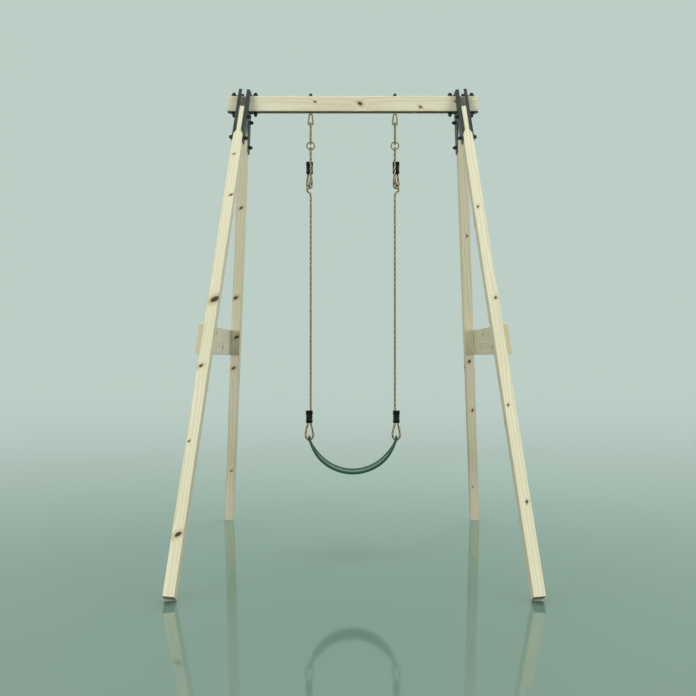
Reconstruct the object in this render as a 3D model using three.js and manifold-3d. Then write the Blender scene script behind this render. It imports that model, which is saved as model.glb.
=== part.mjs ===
// A garden swing set: a timber A-frame stand that carries one flexible belt seat on two ropes.
//
// Millimetres. X runs along the cross beam, Y from front to back and Z up. The origin is on the
// ground under the middle of the beam. Each side of the stand is a group that is tilted outwards,
// and in it X is across the pair of legs, Y front to back and Z up along the pair.
import * as THREE from "three";
import { mergeVertices } from "three/addons/utils/BufferGeometryUtils.js";
import Module from "manifold-3d";

const wasm = await Module();
wasm.setup();

// ---- Driving dimensions ----
const GAP = 0.3; // between pieces that touch
const SIDES = { left: -1, right: 1 };
const ENDS = { front: -1, rear: 1 };

const STOCK = { thick: 45, wide: 70, ease: 3 }; // planed timber
const BEAM = { length: 1150, middle: 2054.5 };
const LEAN = THREE.MathUtils.degToRad(23); // each leg, front to back
const SPLAY = THREE.MathUtils.degToRad(4.94); // each side of the stand, outwards
const SPREAD = 498; // from the centre to each side of the stand, at the middle of the beam
const LEG_TOP = { y: 44.1, z: -38.3 }; // middle of a leg's top end, in its side's group
const BRACE = { thick: 18, high: 125, middle: -1092 };

const PLATE = { thick: 3, top: 60, foot: -200, corner: 14, notch: -70, notchRadius: 12, lip: 12 };
const LIP_END = { free: -158, root: -178 }; // the lip's slanted lower end
const TAB = { long: 38, wide: 42 };
const BOLT = { radius: 4.8, bore: 5.3, head: 9.5, rim: 8, headHigh: 17.5, past: 8 };
const NUT = { radius: 9.4, hexHigh: 8, high: 17.5, wall: 1.6, bore: 10 };
const LEG_BOLTS = { upper: 31.4, lower: 147.5 }; // from a leg's top end, along its axis
const BEAM_BOLTS = { outer: 546, inner: 446.5 }; // from the centre of the beam
const SCREW = { head: 7, headHigh: 5, radius: 3.6, bore: 4, length: 50, point: 12 };

const HANGER = 193.5; // from the centre to each hanging line
const WASHER = { radius: 12, thick: 2 };
const EYE = { wire: 3.5, low: 11, high: 6, bottom: 1960.5, top: 2012 };
const LINK = { wire: 4.5, bend: 19, top: 1970, bottom: 1873.5, nose: 0.7, heel: 2 };
const GATE = { radius: 4.2, hinge: 1902, foot: 1895.5, tip: 1945.3, slot: 2.2, slotTop: 1907.5 };
const TONGUE = { thick: 3.6, wide: 8, bottom: 1889, top: 1905 };
const PIN = { radius: 1.5, bore: 1.9, length: 9.2 };
const RING = { wire: 3, bend: 17.5, middle: 1865 };

const ROPE_RADIUS = 5;
const LOCK = {
  bore: 5.7,
  spacing: 6.5,
  core: 6.5,
  rib: 9.5,
  high: 57,
  bands: [[0, 13], [17.4, 22.2], [26.6, 31.4], [35.8, 57]],
};
const LOWER_LOCK = { line: 199.5, y: 0, z: 593 };
const UPPER_LOCK = { line: 199, y: 10, z: 1737 };

const BELT = { centre: 577, outer: 212, inner: 200, width: 140, webLow: 208.5, webHigh: 203.5 };
const TAB_END = { inner: 195, outer: 203, top: 536, hole: 517.5, bore: 7 };

// ---- Finishes ----
const finish = (color, roughness, metalness) =>
  new THREE.MeshStandardMaterial({ color, roughness, metalness });
const pine = finish(0xcdc8ac, 0.72, 0);
const blackSteel = finish(0x22282a, 0.5, 0.4);
const zinc = finish(0x9c9476, 0.38, 0.9);
const ropeYarn = finish(0xb49a74, 0.9, 0);
const blackPlastic = finish(0x141615, 0.45, 0);
const greenBelt = finish(0x3f8565, 0.4, 0);

// ---- Solids: closed three.js geometry goes in, is joined or cut, and comes out again ----
function toSolid(geometry) {
  const bare = geometry.clone();
  bare.deleteAttribute("normal");
  bare.deleteAttribute("uv");
  const merged = mergeVertices(bare, 1e-4);
  const mesh = new wasm.Mesh({
    numProp: 3,
    vertProperties: new Float32Array(merged.attributes.position.array),
    triVerts: new Uint32Array(merged.index.array),
  });
  return new wasm.Manifold(mesh);
}

function toGeometry(solid) {
  const mesh = solid.getMesh();
  const geometry = new THREE.BufferGeometry();
  geometry.setAttribute("position", new THREE.BufferAttribute(mesh.vertProperties, 3));
  geometry.setIndex(new THREE.BufferAttribute(mesh.triVerts, 1));
  const faceted = geometry.toNonIndexed();
  faceted.computeVertexNormals();
  return faceted;
}

const join = (...pieces) => toGeometry(pieces.map(toSolid).reduce((a, b) => a.add(b)));
const cut = (piece, ...tools) =>
  toGeometry(tools.map(toSolid).reduce((a, b) => a.subtract(b), toSolid(piece)));
const common = (...pieces) => toGeometry(pieces.map(toSolid).reduce((a, b) => a.intersect(b)));

// A round piece turned about Z, from points of [radius, height] that run from bottom to top.
function turned(points, segments = 12) {
  const profile = points.map(([radius, height]) => new THREE.Vector2(radius, height));
  return new THREE.LatheGeometry(profile, segments).rotateX(Math.PI / 2);
}

const rod = (radius, from, to, segments = 12) =>
  turned([[0, from], [radius, from], [radius, to], [0, to]], segments);

// The points of a dome of this radius and rise, from its rim to its crown.
function dome(radius, from, rise, steps = 2) {
  return Array.from({ length: steps + 1 }, (_, i) => {
    const turn = ((Math.PI / 2) * i) / steps;
    return [i === steps ? 0 : radius * Math.cos(turn), from + rise * Math.sin(turn)];
  });
}

function extrude(shape, depth, curveSegments = 6) {
  return new THREE.ExtrudeGeometry(shape, { depth, bevelEnabled: false, curveSegments });
}

// An outline drawn in Y and Z, extruded along X from one place to the next.
const extrudeAlongX = (shape, from, to, curveSegments) =>
  extrude(shape, to - from, curveSegments)
    .applyMatrix4(new THREE.Matrix4().set(0, 0, 1, 0, 1, 0, 0, 0, 0, 1, 0, 0, 0, 0, 0, 1))
    .translate(from, 0, 0);

// An outline drawn in X and Z, extruded along Y about the middle.
const extrudeAlongY = (shape, width, curveSegments) =>
  extrude(shape, width, curveSegments).rotateX(Math.PI / 2).translate(0, width / 2, 0);

// A board along Z with eased long edges.
function board(thick, wide, length) {
  const [x, y, r] = [thick / 2, wide / 2, STOCK.ease];
  const shape = new THREE.Shape();
  shape.moveTo(r - x, -y).lineTo(x - r, -y);
  shape.absarc(x - r, r - y, r, -Math.PI / 2, 0);
  shape.lineTo(x, y - r);
  shape.absarc(x - r, y - r, r, 0, Math.PI / 2);
  shape.lineTo(r - x, y);
  shape.absarc(r - x, y - r, r, Math.PI / 2, Math.PI);
  shape.lineTo(-x, r - y);
  shape.absarc(r - x, r - y, r, Math.PI, 1.5 * Math.PI);
  return extrude(shape, length, 1).translate(0, 0, -length / 2);
}

function circleShape(radius, x = 0, y = 0) {
  const shape = new THREE.Shape();
  shape.absarc(x, y, radius, 0, 2 * Math.PI);
  return shape;
}

function named(name, geometry, material) {
  const mesh = new THREE.Mesh(geometry, material);
  mesh.name = name;
  return mesh;
}

// ---- Geometry of the stand ----
const beamTop = BEAM.middle + STOCK.wide / 2;
const beamBottom = BEAM.middle - STOCK.wide / 2;

// The leg's lowest corner meets the ground, which sets where its bottom end is.
const legFoot =
  ((STOCK.thick / 2) * Math.sin(SPLAY) - BEAM.middle) / Math.cos(SPLAY) +
  (STOCK.wide / 2) * Math.sin(LEAN);
const legLength = (LEG_TOP.z - legFoot) / Math.cos(LEAN);

// A point on a leg's axis, this far from its top end, in its side's group.
const onLeg = (distance) => ({
  y: LEG_TOP.y + distance * Math.sin(LEAN),
  z: LEG_TOP.z - distance * Math.cos(LEAN),
});

// How far from the centre a leg's axis is at a height in its side's group, and a line beside it.
const legLine = (z, beside = 0) =>
  LEG_TOP.y + (LEG_TOP.z - z) * Math.tan(LEAN) + beside / Math.cos(LEAN);

// How far from the beam's centre a side's group is at a height, this far across the group.
const sideAt = (height, across) =>
  SPREAD + across / Math.cos(SPLAY) - (height - BEAM.middle) * Math.tan(SPLAY);

function sideMatrix(side) {
  const move = new THREE.Matrix4().makeTranslation(side * SPREAD, 0, BEAM.middle);
  return move.multiply(new THREE.Matrix4().makeRotationY(-side * SPLAY));
}

// ---- Fasteners ----
// A bolt along Z with a domed head, whose shank goes this far below the middle of its grip.
function bolt(grip, reach) {
  const seat = grip / 2 + GAP;
  return turned([
    [0, -reach],
    [BOLT.radius, -reach],
    [BOLT.radius, seat],
    [BOLT.head, seat],
    ...dome(BOLT.head, seat + BOLT.rim, BOLT.headHigh - BOLT.rim),
  ]);
}

// A hexagon nut with a domed cap, standing on Z = 0.
function capNut() {
  const hexagon = rod(NUT.radius, 0, NUT.hexHigh, 6);
  const round = NUT.radius - NUT.wall;
  const cap = turned([[0, 1], [round, 1], ...dome(round, NUT.hexHigh, NUT.high - NUT.hexHigh)]);
  return cut(join(hexagon, cap), rod(BOLT.bore, -1, NUT.bore));
}

// A coach screw along Z, with its head on top of Z = 0.
function coachScrew() {
  const [neck, tip] = [SCREW.point - SCREW.length, -SCREW.length];
  const shank = turned([[0, tip], [SCREW.radius, neck], [SCREW.radius, 2], [0, 2]], 10);
  return join(shank, rod(SCREW.head, GAP, SCREW.headHigh, 6));
}

// ---- The stand ----
function crossBeam() {
  const beam = board(STOCK.wide, STOCK.thick, BEAM.length).rotateY(Math.PI / 2);
  const places = [BEAM_BOLTS.outer, BEAM_BOLTS.inner, HANGER].flatMap((x) => [-x, x]);
  const bores = places.map((x) => rod(BOLT.bore, -STOCK.wide, STOCK.wide).translate(x, 0, 0));
  return cut(beam, ...bores).translate(0, 0, BEAM.middle);
}

function leg(side, end) {
  const timber = board(STOCK.thick, STOCK.wide, legLength);
  const alongX = (geometry, distance) =>
    geometry.rotateY(Math.PI / 2).translate(0, 0, legLength / 2 - distance);
  const bores = Object.values(LEG_BOLTS).map((distance) =>
    alongX(rod(BOLT.bore, -STOCK.thick, STOCK.thick), distance));
  const screwFrom = (LEG_TOP.z - BRACE.middle) / Math.cos(LEAN);
  const reach = SCREW.length - BRACE.thick - STOCK.thick / 2 + 2;
  const pilot = rod(SCREW.bore, -reach, STOCK.thick, 10).rotateY(side < 0 ? Math.PI : 0);
  const mesh = new THREE.Mesh(cut(timber, ...bores, alongX(pilot, screwFrom)), pine);
  const middle = onLeg(legLength / 2);
  mesh.position.set(0, end * middle.y, middle.z);
  mesh.rotation.x = end * LEAN;
  return mesh;
}

// A board across the outside of both legs, with its ends in line with their outer edges.
function brace(side) {
  const [low, high] = [BRACE.middle - BRACE.high / 2, BRACE.middle + BRACE.high / 2];
  const reach = (z) => legLine(z, STOCK.wide / 2);
  const shape = new THREE.Shape();
  shape.moveTo(-reach(low), low).lineTo(reach(low), low);
  shape.lineTo(reach(high), high).lineTo(-reach(high), high);
  const inner = STOCK.thick / 2 + GAP;
  const outline = extrudeAlongX(shape, inner, inner + BRACE.thick);
  const bores = Object.values(ENDS).map((end) =>
    rod(SCREW.bore, -STOCK.wide, STOCK.wide, 10)
      .rotateY(Math.PI / 2)
      .translate(0, end * legLine(BRACE.middle), BRACE.middle));
  return cut(outline, ...bores).rotateZ(side < 0 ? Math.PI : 0);
}

// A folded steel plate on one face of both legs. Face is 1 on the outer face, -1 on the inner one.
function bracketPlate(side, face) {
  const edge = STOCK.wide / 2 + GAP + PLATE.thick;
  const outer = (z) => legLine(z, edge);
  const inner = (z) => legLine(z, -STOCK.wide / 2);
  const { top, foot, corner, notch, notchRadius } = PLATE;
  const shape = new THREE.Shape();
  shape.moveTo(inner(foot) + corner / 2, foot).lineTo(outer(foot) - corner, foot);
  shape.lineTo(outer(foot + corner / 2), foot + corner / 2);
  shape.lineTo(outer(top - corner), top - corner).lineTo(outer(top) - corner, top);
  shape.lineTo(corner - outer(top), top).lineTo(-outer(top - corner), top - corner);
  shape.lineTo(-outer(foot + corner / 2), foot + corner / 2).lineTo(corner - outer(foot), foot);
  shape.lineTo(-inner(foot) - corner / 2, foot);
  shape.lineTo(-notchRadius, notch - notchRadius);
  shape.absarc(0, notch - notchRadius, notchRadius, Math.PI, 0, true);

  // The beam is level and the plate is tilted, so the window for it is off the group's middle.
  const window = new THREE.Path();
  const near = STOCK.thick / 2 + GAP;
  const shift = -face * (near + PLATE.thick / 2) * Math.tan(SPLAY);
  const [halfWide, halfHigh] = [STOCK.thick / 2 + 0.5, STOCK.wide / 2 + 0.8];
  window.moveTo(-halfWide, shift - halfHigh).lineTo(-halfWide, shift + halfHigh);
  window.lineTo(halfWide, shift + halfHigh).lineTo(halfWide, shift - halfHigh);
  shape.holes.push(window);
  for (const distance of Object.values(LEG_BOLTS)) {
    const { y, z } = onLeg(distance);
    shape.holes.push(circleShape(BOLT.bore, y, z), circleShape(BOLT.bore, -y, z));
  }
  const plate = extrudeAlongX(shape, near, near + PLATE.thick);
  const folds = Object.values(ENDS).map((end) => lip(end, near));
  const solid = join(plate, ...folds).rotateZ(side * face < 0 ? Math.PI : 0);
  return join(solid, tab(side, face, 1), tab(side, face, -1));
}

// The fold along a plate's long edge, over the leg's outer edge, with a slanted lower end.
function lip(end, near) {
  const start = STOCK.wide / 2 + GAP;
  const skin = near + PLATE.thick;
  const [high, root, free] = [PLATE.top - PLATE.corner, LIP_END.root, LIP_END.free].map(
    (height) => height - LEG_TOP.z);
  const shape = new THREE.Shape();
  shape.moveTo(skin, root).lineTo(skin, high);
  shape.lineTo(near - PLATE.lip, high).lineTo(near - PLATE.lip, free);
  shape.lineTo(near, root);
  const fold = extrudeAlongY(shape, PLATE.thick).translate(0, start + PLATE.thick / 2, 0);
  fold.scale(1, end, 1 / Math.cos(LEAN));
  if (end < 0) flip(fold);
  return fold.rotateX(end * LEAN).translate(0, end * LEG_TOP.y, LEG_TOP.z);
}

// Turns every triangle of a mirrored geometry round, so that its faces point outwards again.
function flip(geometry) {
  const position = geometry.attributes.position;
  const [a, b] = [new THREE.Vector3(), new THREE.Vector3()];
  for (let i = 0; i < position.count; i += 3) {
    a.fromBufferAttribute(position, i);
    b.fromBufferAttribute(position, i + 1);
    position.setXYZ(i, b.x, b.y, b.z);
    position.setXYZ(i + 1, a.x, a.y, a.z);
  }
}

// A level tab, bent out of the plate's window, on top of the beam or under it.
function tab(side, face, level) {
  const height = BEAM.middle + level * (STOCK.wide / 2 + GAP + PLATE.thick / 2);
  const root = sideAt(height, face * (STOCK.thick / 2 + GAP + PLATE.thick / 2));
  const flat = new THREE.BoxGeometry(TAB.long, TAB.wide, PLATE.thick);
  flat.translate(side * (root + (face * TAB.long) / 2), 0, height);
  const place = side * BEAM_BOLTS[face > 0 ? "outer" : "inner"];
  const bore = rod(BOLT.bore, height - TAB.long, height + TAB.long).translate(place, 0, 0);
  return cut(flat, bore).applyMatrix4(sideMatrix(side).invert());
}

function buildSide(name, side) {
  const group = new THREE.Group();
  group.applyMatrix4(sideMatrix(side));
  const outwards = (side * Math.PI) / 2;
  for (const [where, end] of Object.entries(ENDS)) {
    const timber = leg(side, end);
    timber.name = `leg_${where}_${name}`;
    group.add(timber);
    for (const [level, distance] of Object.entries(LEG_BOLTS)) {
      const { y, z } = onLeg(distance);
      const grip = STOCK.thick + 2 * (GAP + PLATE.thick);
      const through = bolt(grip, grip / 2 + BOLT.past);
      const boltMesh = named(`leg_bolt_${level}_${where}_${name}`, through, blackSteel);
      boltMesh.position.set(0, end * y, z);
      boltMesh.rotation.y = outwards;
      const nutMesh = named(`leg_nut_${level}_${where}_${name}`, capNut(), blackSteel);
      nutMesh.position.set(-side * (grip / 2 + GAP), end * y, z);
      nutMesh.rotation.y = -outwards;
      group.add(boltMesh, nutMesh);
    }
    const screw = named(`brace_screw_${where}_${name}`, coachScrew(), blackSteel);
    const outside = side * (STOCK.thick / 2 + GAP + BRACE.thick);
    screw.position.set(outside, end * legLine(BRACE.middle), BRACE.middle);
    screw.rotation.y = outwards;
    group.add(screw);
  }
  group.add(named(`side_brace_${name}`, brace(side), pine));
  group.add(named(`bracket_outer_${name}`, bracketPlate(side, 1), blackSteel));
  group.add(named(`bracket_inner_${name}`, bracketPlate(side, -1), blackSteel));
  return group;
}

function beamBolts(name, side) {
  const grip = STOCK.wide + 2 * (GAP + PLATE.thick);
  return Object.entries(BEAM_BOLTS).flatMap(([where, x]) => {
    const through = bolt(grip, grip / 2 + BOLT.past);
    const boltMesh = named(`beam_bolt_${where}_${name}`, through, blackSteel);
    boltMesh.position.set(side * x, 0, BEAM.middle);
    const nutMesh = named(`beam_nut_${where}_${name}`, capNut(), blackSteel);
    nutMesh.position.set(side * x, 0, BEAM.middle - grip / 2 - GAP);
    nutMesh.rotation.x = Math.PI;
    return [boltMesh, nutMesh];
  });
}

// ---- The hangers ----

// A closed pear-shaped wire in the XZ plane, wide at the bottom.
function pearWire({ wire, low, high, bottom, top }) {
  const [lowZ, highZ] = [bottom + low, top - high];
  const slope = Math.asin((low - high) / (highZ - lowZ));
  const flat = new THREE.Shape();
  flat.absarc(0, lowZ, low, Math.PI - slope, 2 * Math.PI + slope);
  flat.absarc(0, highZ, high, slope, Math.PI - slope);
  flat.closePath();
  const points = flat.getSpacedPoints(36).slice(0, -1);
  const curve = new THREE.CatmullRomCurve3(points.map(({ x, y }) => new THREE.Vector3(x, 0, y)), true);
  return new THREE.TubeGeometry(curve, 28, wire, 8, true);
}

function eyeBolt() {
  const shankTop = beamTop + GAP + BOLT.past;
  return join(pearWire(EYE), rod(BOLT.radius, EYE.top, shankTop, 10));
}

function washer(side) {
  const top = beamBottom - GAP;
  const ring = cut(rod(WASHER.radius, top - WASHER.thick, top), rod(BOLT.bore, 0, beamTop));
  return ring.translate(side * HANGER, 0, 0);
}

// The carabiner's open body: a bent rod with a tongue for the gate's hinge. It lies in the YZ plane.
function linkBody() {
  const { bend, top, bottom, wire } = LINK;
  const route = new THREE.Shape();
  const nose = GATE.tip + LINK.nose;
  route.moveTo(bend, nose).lineTo(bend, top - bend);
  route.absarc(0, top - bend, bend, 0, Math.PI);
  route.lineTo(-bend, bottom + bend);
  route.absarc(0, bottom + bend, bend, Math.PI, 2 * Math.PI);
  route.lineTo(bend, GATE.foot - LINK.heel);
  const curve = new THREE.CatmullRomCurve3(
    route.getSpacedPoints(44).map(({ x, y }) => new THREE.Vector3(0, x, y)));
  const rodShape = circleShape(wire);
  const options = { steps: 32, extrudePath: curve, curveSegments: 4 };
  const bent = new THREE.ExtrudeGeometry(rodShape, options);
  const tongue = new THREE.BoxGeometry(TONGUE.thick, TONGUE.wide, TONGUE.top - TONGUE.bottom);
  tongue.translate(0, bend, (TONGUE.top + TONGUE.bottom) / 2);
  const bore = rod(PIN.bore, -PIN.length, PIN.length, 10).rotateY(Math.PI / 2);
  return cut(join(bent, tongue), bore.translate(0, bend, GATE.hinge));
}

function linkGate() {
  const { radius, foot, tip, slot, slotTop, hinge } = GATE;
  const bar = rod(radius, foot, tip, 12).translate(0, LINK.bend, 0);
  const slit = new THREE.BoxGeometry(2 * slot, 4 * radius, 2 * (slotTop - foot));
  slit.translate(0, LINK.bend, foot);
  const bore = rod(PIN.bore, -PIN.length, PIN.length, 10).rotateY(Math.PI / 2);
  return cut(bar, slit, bore.translate(0, LINK.bend, hinge));
}

const gatePin = () =>
  rod(PIN.radius, -PIN.length / 2, PIN.length / 2, 10)
    .rotateY(Math.PI / 2)
    .translate(0, LINK.bend, GATE.hinge);

const ring = () =>
  new THREE.TorusGeometry(RING.bend, RING.wire, 8, 24)
    .rotateX(Math.PI / 2)
    .translate(0, 0, RING.middle);

function buildHanger(name, side) {
  const group = new THREE.Group();
  group.position.x = side * HANGER;
  const topNut = named(`hanger_nut_${name}`, capNut(), blackSteel);
  topNut.position.z = beamTop + GAP;
  group.add(
    named(`hanger_eye_bolt_${name}`, eyeBolt(), zinc),
    topNut,
    named(`carabiner_body_${name}`, linkBody(), zinc),
    named(`carabiner_gate_${name}`, linkGate(), zinc),
    named(`carabiner_pin_${name}`, gatePin(), zinc),
    named(`rope_ring_${name}`, ring(), zinc),
  );
  return group;
}

// ---- The ropes, their locks and the belt ----

// The right-hand rope's middle line, from its end in the lower lock, round the belt's eye, up,
// through the hitch and over the ring, and round the upper eye to its end in the upper lock.
const ROPE_ROUTE = [
  [206, 0, 640], [206, 0, 602], [206.4, 0, 588], [213, 0, 562], [216, 0, 540],
  [213.4, 0, 526], [207, 0, 519.4], [199, 0, 517], [191, 0, 519.4], [184.6, 0, 526],
  [182, 0, 540], [185.5, 0, 562], [192.6, 0, 588], [193, 0, 602], [193, 0, 660],
  [193, 0, 1100], [193, 0, 1600], [193, 0, 1634], [195.5, 0.5, 1645], [203, 3, 1653],
  [209, 10, 1659], [211, 19, 1667], [207, 25, 1677], [201, 21, 1685.5], [199.5, 11, 1688],
  [198.3, 1, 1690], [195.5, -6.5, 1698], [193.2, -9.5, 1712], [193.2, -9.5, 1780],
  [193.5, -9, 1836], [193.5, -8.3, 1851], [193.5, 0, 1857], [193.5, 8.3, 1851],
  [193.5, 9, 1836], [193, 9.8, 1810], [192.5, 10, 1790], [192.5, 10, 1741], [191.5, 10, 1727],
  [188.6, 10, 1702], [188.6, 10, 1684], [192, 10, 1675.2], [199.5, 10, 1672], [207, 10, 1675.2],
  [210.4, 10, 1684], [209.8, 10, 1702], [206.3, 10, 1727], [205.5, 10, 1741], [205.5, 10, 1784],
];

function rope(side) {
  const points = ROPE_ROUTE.map(([x, y, z]) => new THREE.Vector3(side * x, y, z));
  const route = new THREE.CatmullRomCurve3(points, false, "centripetal");
  route.getUtoTmapping = (u) => u; // the same number of steps between every two points
  const steps = 2 * (points.length - 1);
  return new THREE.ExtrudeGeometry(circleShape(ROPE_RADIUS), {
    steps,
    extrudePath: route,
    curveSegments: 4,
  });
}

// A plastic lock with two bores for the rope, a thick collar at its top and ribs below it.
function ropeLock() {
  const slice = (radius, from, to) => {
    const shape = new THREE.Shape();
    shape.absarc(LOCK.spacing, 0, radius, -Math.PI / 2, Math.PI / 2);
    shape.absarc(-LOCK.spacing, 0, radius, Math.PI / 2, 1.5 * Math.PI);
    return extrude(shape, to - from, 2).translate(0, 0, from);
  };
  const ribs = LOCK.bands.map(([low, high]) => slice(LOCK.rib, low, high));
  const body = join(slice(LOCK.core, 0.5, LOCK.high - 0.5), ...ribs);
  const bores = [-1, 1].map((turn) =>
    rod(LOCK.bore, -1, LOCK.high + 1, 10).translate(turn * LOCK.spacing, 0, 0));
  return cut(body, ...bores);
}

// The belt's outline seen along X, drawn in Y and Z: full width below, narrow ends above.
function beltFront(inset) {
  const half = BELT.width / 2 - inset;
  const neck = 22 - inset;
  const shape = new THREE.Shape();
  const low = BELT.centre - BELT.outer - 10;
  shape.moveTo(-half, low).lineTo(half, low).lineTo(half, 425);
  shape.bezierCurveTo(half, 470, neck, 480, neck, TAB_END.hole);
  shape.absarc(0, TAB_END.top - neck, neck, 0, Math.PI);
  shape.bezierCurveTo(-neck, 480, -half, 470, -half, 425);
  return shape;
}

// A curved band about the belt's centre, between two radii, drawn in X and Z.
function curvedBand(inner, outer, sweep) {
  const shape = new THREE.Shape();
  const down = 1.5 * Math.PI;
  shape.absarc(0, BELT.centre, outer, down - sweep, down + sweep);
  shape.absarc(0, BELT.centre, inner, down + sweep, down - sweep, true);
  return shape;
}

function beltSeat() {
  const sweep = THREE.MathUtils.degToRad(73);
  const webSweep = THREE.MathUtils.degToRad(62);
  const down = 1.5 * Math.PI;
  const profile = new THREE.Shape();
  profile.absarc(0, BELT.centre, BELT.outer, down - sweep, down + sweep);
  profile.lineTo(TAB_END.outer, TAB_END.top).lineTo(TAB_END.inner, TAB_END.top);
  profile.lineTo(TAB_END.inner, TAB_END.hole - 3);
  profile.absarc(0, BELT.centre, BELT.inner, down + webSweep, down - webSweep, true);
  profile.lineTo(-TAB_END.inner, TAB_END.hole - 3).lineTo(-TAB_END.inner, TAB_END.top);
  profile.lineTo(-TAB_END.outer, TAB_END.top);

  const reach = BELT.outer + 10;
  const solid = extrudeAlongY(profile, BELT.width, 18);
  const front = extrudeAlongX(beltFront(0), -reach, reach, 5);
  const pocket = extrudeAlongX(beltFront(11), -reach, reach, 5);
  const sunk = (low, high) =>
    common(extrudeAlongY(curvedBand(low, high, webSweep), BELT.width, 18), pocket);
  const above = sunk(BELT.inner - 6, BELT.webHigh);
  const below = sunk(BELT.webLow, BELT.outer + 6);
  const bore = rod(TAB_END.bore, -reach, reach, 16).rotateY(Math.PI / 2);
  return cut(common(solid, front), above, below, bore.translate(0, 0, TAB_END.hole));
}

// ---- The whole swing set ----
const swing = new THREE.Group();
swing.add(named("cross_beam", crossBeam(), pine));
for (const [name, side] of Object.entries(SIDES)) {
  swing.add(buildSide(name, side), ...beamBolts(name, side), buildHanger(name, side));
  swing.add(named(`hanger_washer_${name}`, washer(side), blackSteel));
  swing.add(named(`rope_${name}`, rope(side), ropeYarn));
  for (const [level, place] of Object.entries({ lower: LOWER_LOCK, upper: UPPER_LOCK })) {
    const lock = named(`rope_lock_${level}_${name}`, ropeLock(), blackPlastic);
    lock.position.set(side * place.line, place.y, place.z);
    swing.add(lock);
  }
}
swing.add(named("belt_seat", beltSeat(), greenBelt));

export default swing;
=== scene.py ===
"""The looks of a timber garden swing set: a stand on two pairs of legs, and a belt seat on two ropes.

Sizes are in metres. X runs along the cross beam, Y from front to back and Z up, and the origin is
on the ground under the middle of the beam. Each side of the stand is tilted outwards, so its
pieces are made in the side's own frame and then put in place.
"""

import logging
import math
from collections.abc import Callable, Iterable, Sequence
from dataclasses import dataclass, field
from enum import Enum

import bmesh
import bpy
from bmesh.types import BMEdge, BMesh, BMVert
from bpy.types import ID, Material, Mesh, Node, NodeSocket, NodeTree, Object
from mathutils import Euler, Matrix, Vector


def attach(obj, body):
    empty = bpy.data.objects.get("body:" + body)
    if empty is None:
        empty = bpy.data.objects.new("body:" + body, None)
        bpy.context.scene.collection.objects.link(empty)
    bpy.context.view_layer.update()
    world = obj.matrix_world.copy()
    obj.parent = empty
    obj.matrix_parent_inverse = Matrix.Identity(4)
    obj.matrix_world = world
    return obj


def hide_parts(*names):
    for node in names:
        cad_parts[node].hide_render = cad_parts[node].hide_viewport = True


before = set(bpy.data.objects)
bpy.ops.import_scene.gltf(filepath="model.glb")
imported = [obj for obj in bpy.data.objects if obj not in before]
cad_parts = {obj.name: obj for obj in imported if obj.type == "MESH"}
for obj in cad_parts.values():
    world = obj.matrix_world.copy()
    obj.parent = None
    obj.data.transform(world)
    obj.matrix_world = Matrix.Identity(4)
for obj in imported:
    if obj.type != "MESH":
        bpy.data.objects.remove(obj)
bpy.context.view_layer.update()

LOG = logging.getLogger("swing_set")

MM = 0.001
MERGE = 1e-6  # points closer than this are one point
CREASE = math.radians(38)  # faces that meet at more than this stay crisp
# the same attribute also marks the rope locks' necks and the belt's rims, where a painted highlight goes
EDGE = "edge"  # the vertex attribute that is 1 on a rounded edge and 0 elsewhere
HALF_TURN, QUARTER = math.pi, math.pi / 2
X_AXIS, Y_AXIS, Z_AXIS = Vector((1, 0, 0)), Vector((0, 1, 0)), Vector((0, 0, 1))

Colour = tuple[float, float, float]
Point = tuple[float, float, float]
Value = NodeSocket | float | Sequence[float]


class Spot(Enum):
    """One of two places, whose value is the sign of its coordinate there."""

    @property
    def word(self) -> str:
        """The place's word in a piece's name."""
        return self.name.lower()


class Side(Spot):
    """The two sides of the stand."""

    LEFT = -1
    RIGHT = 1


class End(Spot):
    """The front and rear leg of a side."""

    FRONT = -1
    REAR = 1


class Body(Enum):
    """The bodies that move on their own."""

    STAND = "stand"
    CARABINERS = "carabiners"
    GATE_LEFT = "gate_left"
    GATE_RIGHT = "gate_right"
    ROPES = "ropes"
    SEAT = "seat"


class Slot(Enum):
    """The finishes that the record names."""

    PINE = "pine"
    STEEL = "black_steel"
    ZINC = "zinc"
    ROPE = "rope"
    PLASTIC = "black_plastic"
    BELT = "belt_green"


def tint(red: int, green: int, blue: int) -> Colour:
    """A colour as a shader wants it, from the 0 to 255 values of a paint chart.

    Args:
        red: The red value.
        green: The green value.
        blue: The blue value.

    Returns:
        The linear colour.
    """

    def linear(value: int) -> float:
        """One channel without its gamma."""
        share = value / 255
        return share / 12.92 if share <= 0.04045 else ((share + 0.055) / 1.055) ** 2.4

    return linear(red), linear(green), linear(blue)


def shift(x: float, y: float, z: float) -> Matrix:
    """A move by a distance along each axis."""
    return Matrix.Translation((x, y, z))


def rotation(angle: float, axis: str) -> Matrix:
    """A turn about an axis through the origin."""
    return Matrix.Rotation(angle, 4, axis)


def show(name: str, data: ID) -> Object:
    """Puts a mesh, a light or a camera in the scene.

    Args:
        name: The object's name.
        data: What it shows.

    Returns:
        The object.
    """
    shown = bpy.data.objects.new(name, data)
    bpy.context.scene.collection.objects.link(shown)
    return shown


# ---------------------------------------------------------------- node trees


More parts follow.
